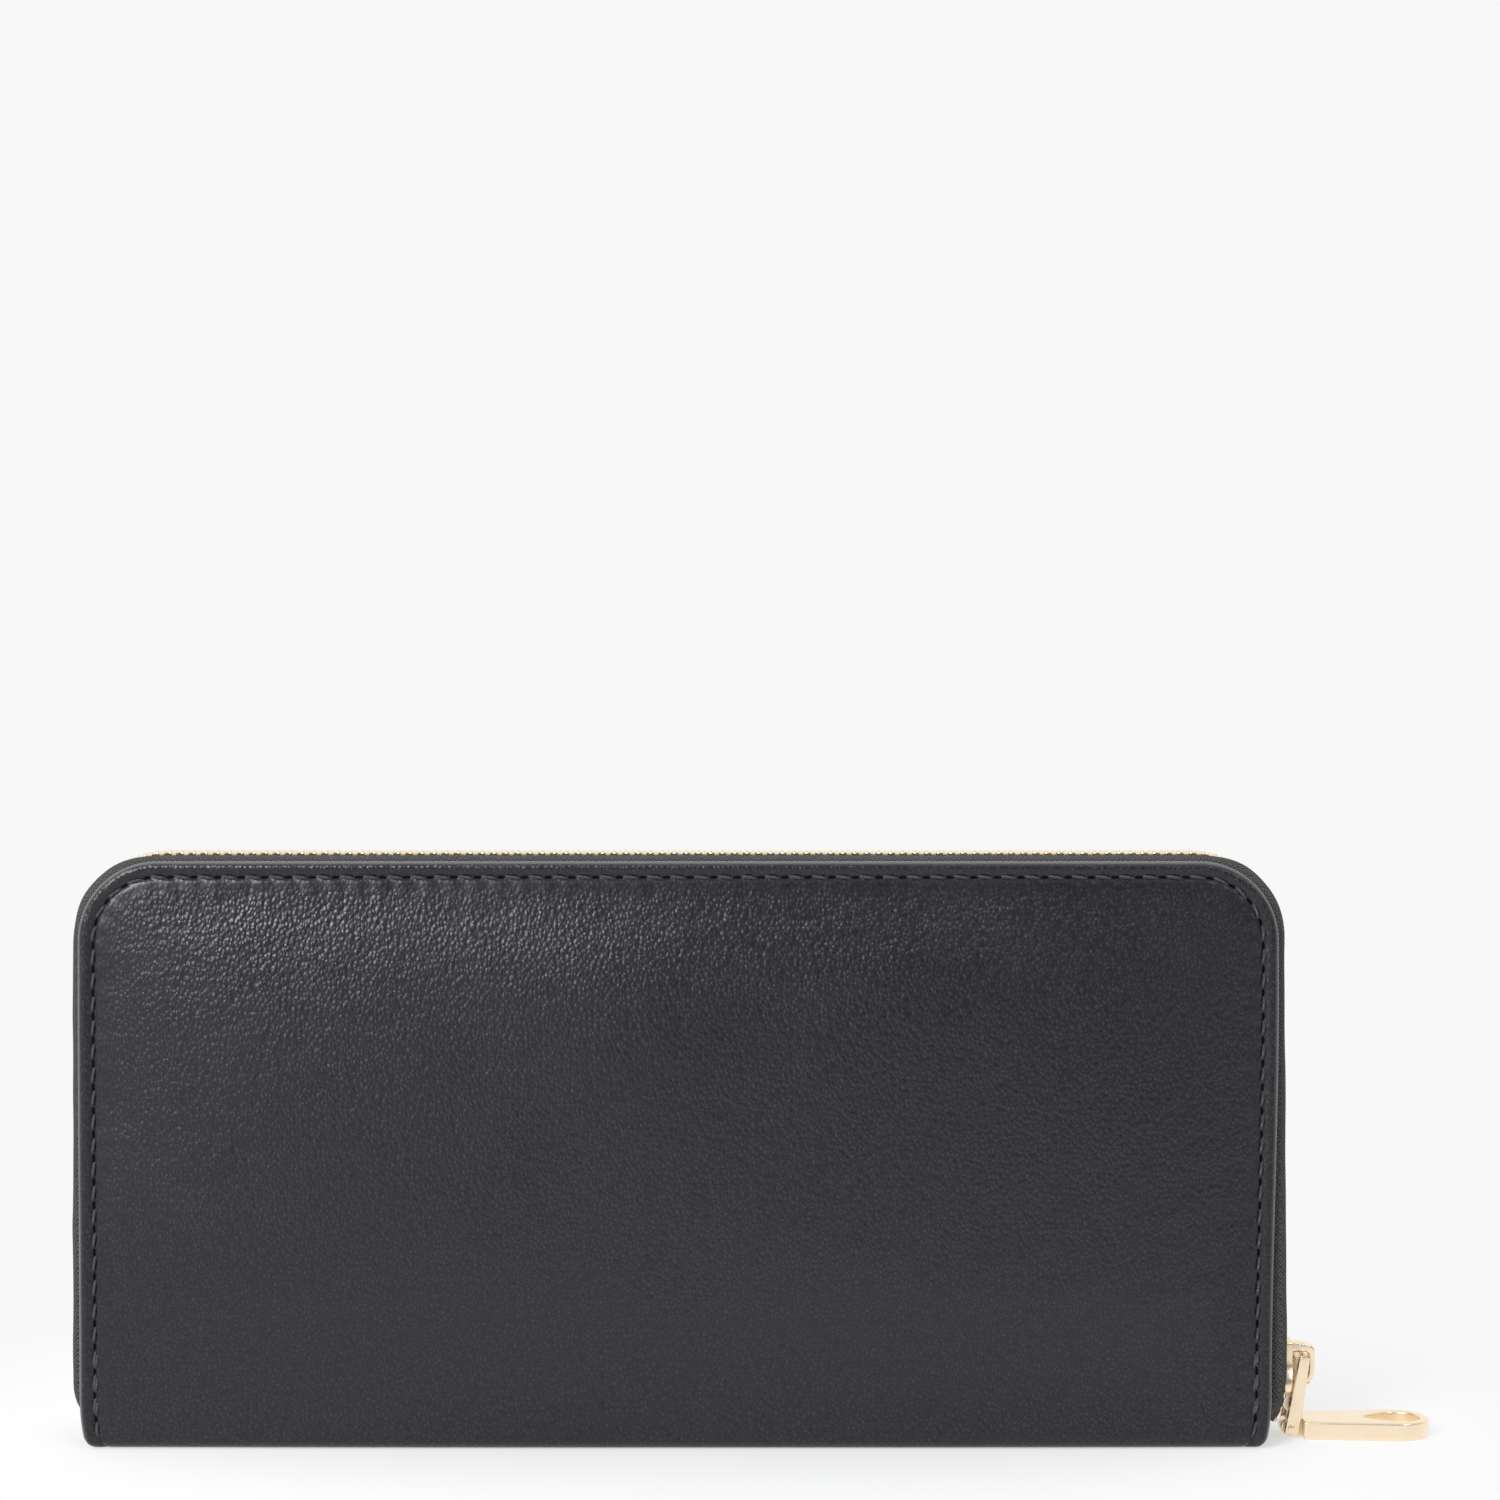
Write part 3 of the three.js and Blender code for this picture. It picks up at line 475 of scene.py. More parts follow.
# %% Hard finishes
gold, tree, shader = finish("pale gold plate", (1.0, 0.84, 0.61), 0.3, 1.0)
handled = use_group(tree, handling_group, Patches_per_metre=220.0)
polish = noise(tree, object_coordinates(tree, (0.25, 1, 1)), 5200.0, 2.0)
wire(tree, blend_colors(tree, handled.outputs["Mask"], (1.0, 0.86, 0.65), (1.0, 0.82, 0.58)),
     shader.inputs["Base Color"])
vary(tree, handled.outputs["Mask"], shader.inputs["Roughness"], 0.26, 0.36)
add_bump(tree, shader, polish.outputs["Fac"], 0.004)

steel, tree, shader = finish("spring steel", (0.6, 0.6, 0.62), 0.3, 1.0)
handled = use_group(tree, handling_group, Patches_per_metre=400.0)
vary(tree, handled.outputs["Mask"], shader.inputs["Roughness"], 0.24, 0.4)

nylon, tree, shader = finish("black nylon", (0.012, 0.012, 0.013), 0.4)
handled = use_group(tree, handling_group, Patches_per_metre=500.0)
vary(tree, handled.outputs["Mask"], shader.inputs["Roughness"], 0.32, 0.48)

greyboard, tree, shader = finish("grey board", (0.3, 0.28, 0.24), 0.9)
handled = use_group(tree, handling_group, Patches_per_metre=350.0)
wire(tree, blend_colors(tree, handled.outputs["Mask"], (0.25, 0.235, 0.2), (0.34, 0.32, 0.28)),
     shader.inputs["Base Color"])
add_bump(tree, shader, handled.outputs["Mask"], 0.05)

left_showing = {"rear_board": greyboard, "front_board": greyboard, "spine_board": greyboard,
                "slider_lock_spring": steel}
for node, material in left_showing.items():
    frame["nodes"][node].data.materials.clear()
    frame["nodes"][node].data.materials.append(material)
print("plain solids that stay:", sorted(left_showing))


# %% [markdown]
# ## How the leather lies
# Each cover and its half of the spine are one sheet of leather. Laid flat, a point on it has a place x
# along the wallet and a place t measured from the middle of the spine: under the spine, round the heel
# and up the cover. This cell turns x, t and a height above the leather's rest surface into a point, so
# that everything else about the cover can be worked out on the flat sheet, as a maker does.

# %% Fold the flat sheet
heel_start = rim_outer - heel_radius
heel_end = heel_start + heel_radius * math.pi / 2
rolled_rise = leather_thickness / 2
sheet_top = heel_end + cover_top - heel_radius + rolled_rise
end_narrowing = 2.4
pull_side_taper, far_side_taper = 1.15, 0.3
print(f"from the spine's middle to the cover's edge: {sheet_top:.1f} mm")


def smoothstep(v):
    v = np.clip(v, 0, 1)
    return v * v * (3 - 2 * v)


def narrowing(x, t):
    """How far the ends draw in towards the spine: a quarter circle over the last ten millimetres, and a
    slow taper down the wallet, strongest beside the pull, which drags the leather in."""
    u = np.clip((heel_end + 6.6 - t) / 10.0, 0, 1)
    taper = 1 - smoothstep((t - heel_end - 6) / 66)
    drawn_in = end_narrowing * (1 - np.sqrt(1 - u * u))
    return drawn_in + taper * np.where(x > 0, pull_side_taper, far_side_taper)


def fold(x, t, height, side):
    """The folded place of flat points: flat under the spine, a quarter turn round the heel, then
    straight up. side is -1 for the rear cover and 1 for the front."""
    x, t, height = np.broadcast_arrays(x, t, height)
    angle = np.clip((t - heel_start) / heel_radius, 0, math.pi / 2)
    reach = heel_radius + height
    y = np.minimum(t, heel_start) + reach * np.sin(angle)
    z = heel_radius - reach * np.cos(angle) + np.maximum(t - heel_end, 0)
    return np.stack([x * (1 - narrowing(x, t) / half_width), side * y, z], -1)


# %% [markdown]
# ## The U-shaped line
# The rim, the stitching and the puff all follow the same line at different distances from the edge: up
# one end, round a corner, along the top, round the other corner and down. Sampling that line the same way
# at every distance gives the columns of a grid whose rows run from the edge to the middle.

# %% The line at any inset
foot_steps, leg_steps, corner_steps, top_steps = 60, 112, 34, 262
foot_length = 16.0
full_top_inset, slow_top_share = 20, 0.72
smallest_radius = 3.0


def u_line(inset):
    """Points (x, t) of the line, for an array of insets (rows, 1). Straight runs are even steps, and
    the corners are quarter circles whose radius shrinks with the inset down to a smallest one. Deep in,
    the top comes down more slowly than the legs close, so that it never reaches the heel. The foot of
    each leg, which goes round the heel, is stepped alike at every inset."""
    radius = np.maximum(corner_radius - inset, smallest_radius)
    slow_inset = full_top_inset + (inset - full_top_inset) * slow_top_share
    top_inset = np.where(inset < full_top_inset, inset, slow_inset)
    side, top = half_width - inset, sheet_top - top_inset
    foot = np.arange(foot_steps) / foot_steps * foot_length
    up = foot_length + (top - radius - foot_length) * np.arange(leg_steps) / leg_steps
    leg = np.concatenate([foot * np.ones_like(inset), up], -1)
    quarter = np.arange(corner_steps) / corner_steps * math.pi / 2
    over = np.arange(top_steps) / top_steps
    last = top - radius
    x = [-side * np.ones_like(leg), -side + radius - radius * np.cos(quarter),
         (side - radius) * (2 * over - 1), side - radius + radius * np.sin(quarter),
         side * np.ones_like(leg), side]
    t = [leg, last + radius * np.sin(quarter), top * np.ones_like(over), last + radius * np.cos(quarter),
         np.concatenate([last, leg[:, :0:-1]], -1), 0 * side]
    return np.concatenate(x, -1), np.concatenate(t, -1)


seam_x, seam_t = u_line(np.array([[stitch_inset]]))
seam_steps = np.hypot(np.diff(seam_x[0]), np.diff(seam_t[0]))
seam_run = np.concatenate([[0], np.cumsum(seam_steps)])
stitch_count = int(round(seam_run[-1] / stitch_pitch))
pitch = seam_run[-1] / stitch_count
print(f"seam {seam_run[-1]:.0f} mm, {stitch_count} stitches a cover")


# %% [markdown]
# ## How the padding fills
# Inside the seam the leather is a loose panel that foam pushes out. That is what cloth with air behind
# it does, so the panel is simulated: a flat grid held along the seam and the heel, with pressure behind
# it and no gravity. Twenty steps settle it. Its heights are kept, and the cover's mesh is then raised by
# them, read through a smooth cubic so that the coarse grid leaves no facets.

# %% Simulate the panel
panel_columns, panel_rows = 76, 38
panel_x = np.linspace(-half_width, half_width, panel_columns)
panel_t = np.linspace(heel_end - 4, sheet_top, panel_rows)
full_depth = 15.5
settle_steps = 20


def inside_seam(x, t):
    """Distance in from the stitch line, which runs round the corners on a circle."""
    across, up = half_width - corner_radius - abs(x), sheet_top - corner_radius - t
    in_corner = corner_radius - np.hypot(np.minimum(across, 0), np.minimum(up, 0))
    straight = np.minimum(across, up) + corner_radius
    return np.where((across < 0) & (up < 0), in_corner, straight) - stitch_inset


def settle_panel():
    """Runs the cloth and returns its heights (rows, columns), scaled so that the median height
    full_depth in from the seam is full_depth."""
    t, x = np.meshgrid(panel_t, panel_x, indexing="ij")
    start = np.stack([x, 0 * x, t], -1).reshape(-1, 3)
    mesh = bpy.data.meshes.new("panel")
    mesh.from_pydata((start * MM).tolist(), [], grid_faces(panel_rows, panel_columns).tolist())
    panel = bpy.data.objects.new("panel", mesh)
    bpy.context.scene.collection.objects.link(panel)
    depth = inside_seam(x, t)
    held = np.flatnonzero(((depth < 0.5) | (t < heel_end + 2)).ravel())
    panel.vertex_groups.new(name="held").add(held.tolist(), 1.0, "REPLACE")
    settings = panel.modifiers.new("cloth", "CLOTH").settings
    settings.quality = 6
    settings.mass = 0.2
    settings.vertex_group_mass = "held"
    settings.use_pressure = True
    settings.uniform_pressure_force = 4.0
    settings.effector_weights.gravity = 0.0
    for step in range(1, settle_steps + 1):
        bpy.context.scene.frame_set(step)
    settled = panel.evaluated_get(bpy.context.evaluated_depsgraph_get()).data
    moved = np.zeros(len(settled.vertices) * 3)
    settled.vertices.foreach_get("co", moved)
    bpy.data.objects.remove(panel)
    bpy.data.meshes.remove(mesh)
    bpy.context.scene.frame_set(1)
    height = abs(moved.reshape(panel_rows, panel_columns, 3)[..., 1]) / MM
    typical = np.median(height[abs(depth - full_depth) < 1.5])
    print(f"panel: {height.max():.1f} mm high, {typical:.2f} mm at {full_depth} mm from the seam")
    return height * full_depth / max(typical, 1e-6)


panel_heights = settle_panel()


def filled(x, t, away):
    """How far the padding has filled at flat points, as a distance from the seam: the settled panel,
    weighted over the sixteen nearest grid points by cubic splines."""
    if panel_heights is None:
        return away
    total = 0.0
    places = []
    for value, grid in ((t, panel_t), (x, panel_x)):
        place = np.clip((value - grid[0]) / (grid[1] - grid[0]), 1, len(grid) - 2.001)
        index = place.astype(int)
        f = place - index
        weights = [(1 - f) ** 3 / 6, (3 * f ** 3 - 6 * f ** 2 + 4) / 6,
                   (-3 * f ** 3 + 3 * f ** 2 + 3 * f + 1) / 6, f ** 3 / 6]
        places.append((index, weights))
    (row, row_weights), (column, column_weights) = places
    for i in range(4):
        for j in range(4):
            near_row = np.clip(row + i - 1, 0, panel_rows - 1)
            near_column = np.clip(column + j - 1, 0, panel_columns - 1)
            height = panel_heights[near_row, near_column]
            total = total + row_weights[i] * column_weights[j] * height
    return total * smoothstep(away / 1.5)


# %% [markdown]
# ## The cover's relief
# Above the sheet's rest surface the leather has a soft rim, a groove where the stitches pull it down,
# small puckers beside each stitch and a padded middle. Each is one term of a height function. The random
# unevenness is a sum of long sine waves from a fixed seed, so it is the same every time.

# %% Height of the leather
padding_rise = 3.1
print(f"the padding lifts the leather by up to {padding_rise} mm")


def unevenness(x, y, wavelength, seed, count=14):
    """A sum of sine waves of about one wavelength, in random directions and phases, of about unit height."""
    random = np.random.default_rng(seed)
    total = 0.0
    for turn, phase, share in random.uniform([0, 0, 0.7], [math.tau, math.tau, 1.5], (count, 3)):
        distance = x * math.cos(turn) + y * math.sin(turn)
        total = total + np.sin(math.tau * distance / (wavelength * share) + phase)
    return total / math.sqrt(count)


def relief(inset, run, x, t, side):
    """Height in millimetres of the leather above its rest surface, at an inset from the edge and a
    distance run along the seam: rim + groove + puckers + padding + unevenness."""
    away = np.maximum(inset - stitch_inset - 0.25, 0)
    phase = math.tau * run / pitch
    rim = 0.16 * np.exp(-((inset - 1.2) / 0.65) ** 2)
    groove = -(0.32 + 0.12 * np.cos(phase)) * np.exp(-((inset - stitch_inset) / 0.40) ** 2)
    strength = 0.7 + 0.5 * unevenness(run, 0 * run, 60, 3) + 0.7 * smoothstep((x - 60) / 25)
    pucker = 0.06 * strength * np.cos(phase + 0.5) * (away > 0) * np.exp(-away / 1.8)
    fullness = smoothstep((t - heel_end - 1) / 24)
    puff = padding_rise * (1 - np.exp(-(filled(side * x, t, away) / full_depth) ** 1.9))
    padding = fullness * (0.08 * (1 - np.exp(-away / 0.8)) + puff)
    soft = fullness * smoothstep(away / 14) * 0.16 * unevenness(x, t, 46, 11 + side)
    ripples = fullness * smoothstep(away / 3) * 0.022 * unevenness(x, t, 9, 21 + side)
    return (rim + pucker + padding + soft + ripples) * smoothstep((t - heel_start) / 4) + groove


# %% [markdown]
# ## Covers
# A row of the grid is the U-shaped line at one distance from the edge. The rows start on the inside of the
# cover, come round its rolled edge and cross the outside to the middle, where the two legs of the line
# meet and are joined. Where the sheet is cut at the middle of the spine a flat face closes it.

# %% Build the covers
edge_turn = np.radians(np.linspace(-90, 90, 9))
inside_rows = np.array([half_width - 4, 40, 14, 7, 3.5, 1.8])
outside_rows = np.array([1.05, 1.4, 1.8, 2.1, 2.35, 2.6, 2.8, 3.05, 3.35, 3.8, 4.4, 5.2, 6.3, 7.8, 9.8, 12.5,
                         16, 20, 25, 31, 38, 46, 55, 66, 79, half_width - 4])
edge_rows = leather_thickness / 2 * (1 - np.cos(edge_turn))
insets = np.concatenate([inside_rows, edge_rows, outside_rows])[:, None]
depth_share = np.concatenate([0 * inside_rows + 1, (1 - np.sin(edge_turn)) / 2, 0 * outside_rows])
depth_share = depth_share[:, None]
on_outside = np.arange(len(insets))[:, None] >= len(inside_rows) + len(edge_rows) // 2
spine_thickness = 1.15


def cover_shape(side):
    """One cover with its half of the spine, and its masks: the leather is thinner under the spine."""
    x, t = u_line(insets)
    run = np.broadcast_to(seam_run, x.shape)
    thickness = spine_thickness + (leather_thickness - spine_thickness) * smoothstep((t - heel_start) / 5)
    thickness = thickness - 0.2 * smoothstep((insets - 5) / 2)
    height = np.where(on_outside, relief(insets, run, x, t, side), 0) - thickness * depth_share
    points = fold(x, t, height, side)
    rows, columns = x.shape
    left = np.arange(columns // 2)
    right = columns - 1 - left
    zipped = np.stack([left[:-1], left[1:], right[1:], right[:-1]], -1)
    last = (rows - 1) * columns
    ends = np.concatenate([np.arange(rows) * columns, (np.arange(rows) * columns + columns - 1)[::-1]])
    faces = [grid_faces(rows, columns), zipped[:, ::-1], zipped + last, ends[None]]
    # The mask along the stitch groove darkens the colour as painted shade; the edge mask paints a highlight
    # on the rolled edge and also smooths its grain.
    masks = {"groove_shade": np.exp(-((insets - stitch_inset) / 0.4) ** 2) * on_outside * np.ones_like(x),
             "pressed": np.exp(-((insets - stitch_inset - 1) / 1.6) ** 2) * np.ones_like(x),
             "edge": (1 - smoothstep((insets - 0.2) / 0.45)) * np.ones_like(x)}
    return (points.reshape(-1, 3), faces), {key: value.ravel() for key, value in masks.items()}


halves = {"rear": -1, "front": 1}


def bend_at_heel(made):
    """Bakes the piece's transform into its mesh."""
    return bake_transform(made)


for name, side in halves.items():
    shape, masks = cover_shape(side)
    made = piece(f"{name}_cover_leather", shape, leather, masks=masks, smooth=60)
    bend_at_heel(made)
    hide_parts(f"{name}_cover", f"{name}_padding", "spine_leather")


# %% [markdown]
# ## Stitching
# A lockstitch shows as short lengths of thread that dive into a hole at each end, a little slanted,
# because the thread leaves each hole on the side the needle came from. All the stitches of a seam are one
# array: a bowed centreline with rings of points round it. At both lower ends the seam is sewn over twice.

# %% Stitches along a line
thread_seat = 0.42
heel_drop = 0.42


def stitches(centres, offsets, line, length=2.7, radius=0.29, slant=0.2, sink=0.5):
    """Threads as lofts. line(run, across, height) places a point at a distance along the seam. Each
    centreline bows up by sink from its ends, and each ring is a circle round it."""
    along = np.linspace(-1, 1, 9)[None, :, None]
    turn = np.arange(7)[None, None, :] / 7 * math.tau
    thick = radius * (1 - 0.55 * along ** 6)
    run = centres[:, None, None] + along * length / 2 + 0 * turn
    across = offsets[:, None, None] + slant * along + thick * np.cos(turn)
    height = sink * (1 - along ** 2) - thread_seat + 0.8 * thick * np.sin(turn)
    rings = line(run, across, height)
    uv = np.stack([run, turn + 0 * run], -1)
    return copies(rings), uv.reshape(-1, 2)


def holes(centres, line, height=-0.32):
    """Needle holes as painted shade: flat eight-sided lenses in a near-black finish, lying in the groove
    between the stitches.
    """
    turn = np.arange(8)[None, None, :] / 8 * math.tau
    size = np.array([0.3, 1.0, 0.3])[None, :, None]
    drop = np.array([-0.12, 0.0, 0.03])[None, :, None]
    run = centres[:, None, None] + 0.78 * size * np.cos(turn)
    across = 0.46 * size * np.sin(turn)
    return copies(line(run, across, height + drop + 0 * run))


def seam_line(side):
    """Returns line(run, across, height) for one cover: the place on the seam, moved across it. Near the
    floor the thread lies deeper in its groove."""
    step_x, step_t = np.gradient(seam_x[0], seam_run), np.gradient(seam_t[0], seam_run)

    def line(run, across, height):
        x, t = np.interp(run, seam_run, seam_x[0]), np.interp(run, seam_run, seam_t[0])
        dx, dt = np.interp(run, seam_run, step_x), np.interp(run, seam_run, step_t)
        height = height - heel_drop * smoothstep((heel_end + 1 - t) / 3)
        return fold(x + across * dt, t - across * dx, height, side)

    return line


stitch_centres = (np.arange(stitch_count) + 0.5) * pitch
tack_centres = heel_end + 4 + pitch * (np.arange(3) + 0.1)
tack_centres = np.concatenate([tack_centres, seam_run[-1] - tack_centres])
all_centres = np.concatenate([stitch_centres, tack_centres])
all_offsets = np.concatenate([0 * stitch_centres, 0 * tack_centres + 0.34])
for name, side in halves.items():
    line = seam_line(side)
    sewn, uv = stitches(all_centres, all_offsets, line)
    made = piece(f"{name}_stitching_thread", sewn, thread, uv=uv)
    bend_at_heel(made)
    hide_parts(f"{name}_stitching")
    made = piece(f"{name}_needle_hole_shade", holes(np.arange(1, stitch_count) * pitch, line), hole_shade_finish)
    bend_at_heel(made)


# %% [markdown]
# ## The zip's line
# The zip runs in the middle plane, a little outside the covers' edge: up beside the slider, round the
# corners along the top, and down the far end. Both ends tuck in towards the spine. The whole line is
# sampled once as an array, and any place on it is read off by its distance from the start.

# %% Sample the zip's line
slider_low, slider_high = box_mm("zip_slider")
zip_x = (slider_low[0] + slider_high[0]) / 2
zip_rise = 1.2
far_x = half_width + zip_rise


def arc(centre_x, centre_z, radius, start, end):
    """Points on a circle every degree, with the way out of the wallet at each."""
    turn = np.radians(np.linspace(start, end, max(int(abs(end - start)), 2)))
    out = np.stack([np.cos(turn), np.sin(turn)], -1)
    return np.concatenate([np.array([centre_x, centre_z]) + radius * out, out], -1)


corner_x, corner_z = half_width - corner_radius, cover_top - corner_radius
route_arcs = [arc(zip_x - 7.5, 8, 7.5, -40, 0), arc(corner_x, corner_z, corner_radius + zip_rise, 0, 90),
              arc(-corner_x, corner_z, corner_radius + zip_rise, 90, 180),
              arc(7.5 - far_x, 10, 7.5, 180, 225)]
route = np.concatenate(route_arcs)
route_run = np.concatenate([[0], np.cumsum(np.hypot(*np.diff(route[:, :2], axis=0).T))])
zip_length = route_run[-1]
arc_ends = np.cumsum([len(points) for points in route_arcs])
straight_start = route_run[arc_ends[0] - 1]
corner_starts, corner_ends = route_run[arc_ends[:2]], route_run[arc_ends[1:3] - 1]


def on_route(run, across, outwards):
    """The point at a distance run along the zip, across from the middle plane and outwards."""
    x, z, out_x, out_z = (np.interp(run, route_run, route[:, k]) for k in range(4))
    return np.stack(np.broadcast_arrays(x + outwards * out_x, across, z + outwards * out_z), -1)


spread_start = straight_start + slider_low[2] + 0.2 * (slider_high[2] - slider_low[2]) - 8
spread_length = 0.35 * (slider_high[2] - slider_low[2])


def spread(run):
    """How far each row of teeth stands off the middle plane: parted below the slider, closed above."""
    return 1 - smoothstep((run - spread_start) / spread_length)


print(f"zip {zip_length:.0f} mm long")

# %% [markdown]
# ## Zip tape
# The tape is a ribbon. From the teeth it lies nearly flat, then it turns down over the cover's edge and is
# sewn inside the rim. Its section is carried along the zip's line, and it buckles very slightly between
# its stitches and bows out where it goes round a corner. A cord woven into its edge fills the teeth's legs,
# and stands high enough that its dark cloth fills the gaps between the teeth as painted shade.

# %% Build the tape
tape_half = 0.24
tape_seat = 9.27
# The cord is real, but it stands higher than it would so that its dark cloth shows between the teeth as
# painted shade.
cord_across, cord_rise = 2.05, 0.27
tape_middle = np.array([[1.6, 0.1], [1.75, 0.12], [cord_across, 0.15], [2.35, 0.12], [2.6, 0.1], [3.2, 0.06],
                        [4.4, 0.06], [5.6, 0.1], [6.8, 0.08], [7.8, -0.08], [8.5, -0.35], [8.98, -0.8],
                        [9.2, -1.4], [tape_seat, -2.2], [tape_seat, -4.4], [tape_seat, -6.8]])


def tape_shape(side):
    """The section is the middle line moved half a thickness to each side, carried along the route."""
    run = np.linspace(0, zip_length, 400)
    tangent = np.gradient(tape_middle, axis=0)
    tangent /= np.linalg.norm(tangent, axis=1)[:, None]
    corded = np.exp(-((tape_middle[:, 0] - cord_across) / 0.36) ** 2)
    corded[0] = 0.0
    normal = np.stack([-tangent[:, 1], tangent[:, 0]], -1) * (tape_half + cord_rise * corded)[:, None]
    ring = np.concatenate([tape_middle + normal, (tape_middle - normal)[::-1]])
    width = np.concatenate([[0], np.cumsum(np.hypot(*np.diff(tape_middle, axis=0).T))])
    width = np.concatenate([width, width[::-1]])
    near_teeth = 1 - smoothstep((ring[:, 0] - 2.5) / 5)
    free = np.exp(-((ring[:, 0] - 6.2) / 1.6) ** 2)
    across = ring[:, 0] + near_teeth * spread(run)[:, None]
    buckle = 0.12 * unevenness(run, 0 * run, 13, 31 + side)[:, None] * free
    tucked = 2.0 * smoothstep((ring[:, 0] - 3) / 5) * (1 - smoothstep(run / 9))[:, None]
    in_corner = sum(smoothstep((run - a) / 9) * smoothstep((b - run) / 9)
                    for a, b in zip(corner_starts, corner_ends))
    bowed = 0.75 * in_corner[:, None] * np.exp(-((ring[:, 0] - 6.4) / 1.9) ** 2)
    rings = on_route(run[:, None], side * across, ring[:, 1] + buckle - tucked + bowed)
    uv = np.stack(np.broadcast_arrays(run[:, None], width), -1).reshape(-1, 2)
    return loft(rings), uv


for name, side in halves.items():
    shape, uv = tape_shape(side)
    made = piece(f"{name}_zip_tape_cloth", shape, tape_cloth, f"{name}_half", uv=uv, smooth=80)
    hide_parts(f"{name}_zip_tape")


# %% [markdown]
# ## Teeth
# Each tooth is cast or pressed metal: a head that locks between two heads of the other row, a waist, and
# legs that grip the tape's corded edge. One tooth is a loft of a few eight-sided sections, few enough
# faces that some hundreds of them stay light. The two rows stand half a pitch apart.

# %% Build the teeth
tooth_pitch = 2.0
tooth_across = np.array([-0.6, -0.48, -0.1, 0.45, 0.85, 1.2, 2.25, 2.6])
tooth_width = np.array([0.18, 0.36, 0.43, 0.40, 0.38, 0.48, 0.48, 0.40])
tooth_rise = np.array([0.6, 0.95, 1.14, 1.14, 1.1, 0.98, 0.86, 0.6])
tooth_drop = np.array([0.5, 0.85, 1.02, 1.02, 0.95, 1.1, 1.14, 0.9])
tooth_section = np.array([[1, 0.55], [0.6, 1], [-0.6, 1], [-1, 0.55],
                          [-0.8, -0.6], [-0.45, -1], [0.45, -1], [0.8, -0.6]])


def teeth_shape(side, start, end):
    """Copies of the tooth along the route: each section is the eight-sided outline times the tooth's
    width and height there."""
    first = (tooth_pitch / 2 if side > 0 else 0) + 0.4
    places = np.arange(first, zip_length - 1, tooth_pitch)
    places = places[(places >= start) & (places < end)][:, None, None]
    along = tooth_section[None, None, :, 0] * tooth_width[None, :, None]
    reach_out = np.where(tooth_section[None, :, 1] > 0, tooth_rise[:, None], tooth_drop[:, None])
    out = tooth_section[None, None, :, 1] * reach_out[None]
    across = side * (tooth_across[None, :, None] + spread(places))
    return copies(on_route(places + along, across + 0 * along, out + 0 * places))


first_corner, last_corner = corner_starts[0], corner_ends[1]
spans = {"pull_end": (0, first_corner), "top": (first_corner, last_corner),
         "far_end": (last_corner, zip_length)}
for name, side in halves.items():
    for part, (start, end) in spans.items():
        made = piece(f"{name}_teeth_{part}", teeth_shape(side, start, end), gold, f"{name}_half", smooth=50)
        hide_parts(f"{name}_zip_teeth_{part}")


# %% [markdown]
# ## Rounded metal
# Cast zip parts are flat plates with softened edges. A plate is an outline with a thickness: near each
# face the outline is drawn in along a quarter circle, which rounds the edge. Corners of the outline itself
# are cut by short curves first. Holes are more outlines, wound the other way.

# %% Plate helpers
def rounded(corners, radii, steps=5):
    """An outline with each corner replaced by a curve that starts and ends radii away from it: the
    curve is a corner-weighted blend of its two ends."""
    corners = np.asarray(corners, float)
    radii = np.broadcast_to(np.asarray(radii, float), len(corners))[:, None]
    before, after = np.roll(corners, 1, 0) - corners, np.roll(corners, -1, 0) - corners
    start = corners + radii * before / np.linalg.norm(before, axis=1)[:, None]
    end = corners + radii * after / np.linalg.norm(after, axis=1)[:, None]
    t = np.linspace(0, 1, steps)[None, :, None]
    curve = (1 - t) ** 2 * start[:, None] + 2 * t * (1 - t) * corners[:, None] + t ** 2 * end[:, None]
    flat = curve.reshape(-1, 2)
    keep = np.linalg.norm(flat - np.roll(flat, 1, 0), axis=1) > 1e-6
    return flat[keep]


def wound(loop, clockwise):
    area = (loop[:, 0] * np.roll(loop[:, 1], -1) - np.roll(loop[:, 0], -1) * loop[:, 1]).sum()
    return loop[::-1] if (area < 0) != clockwise else loop


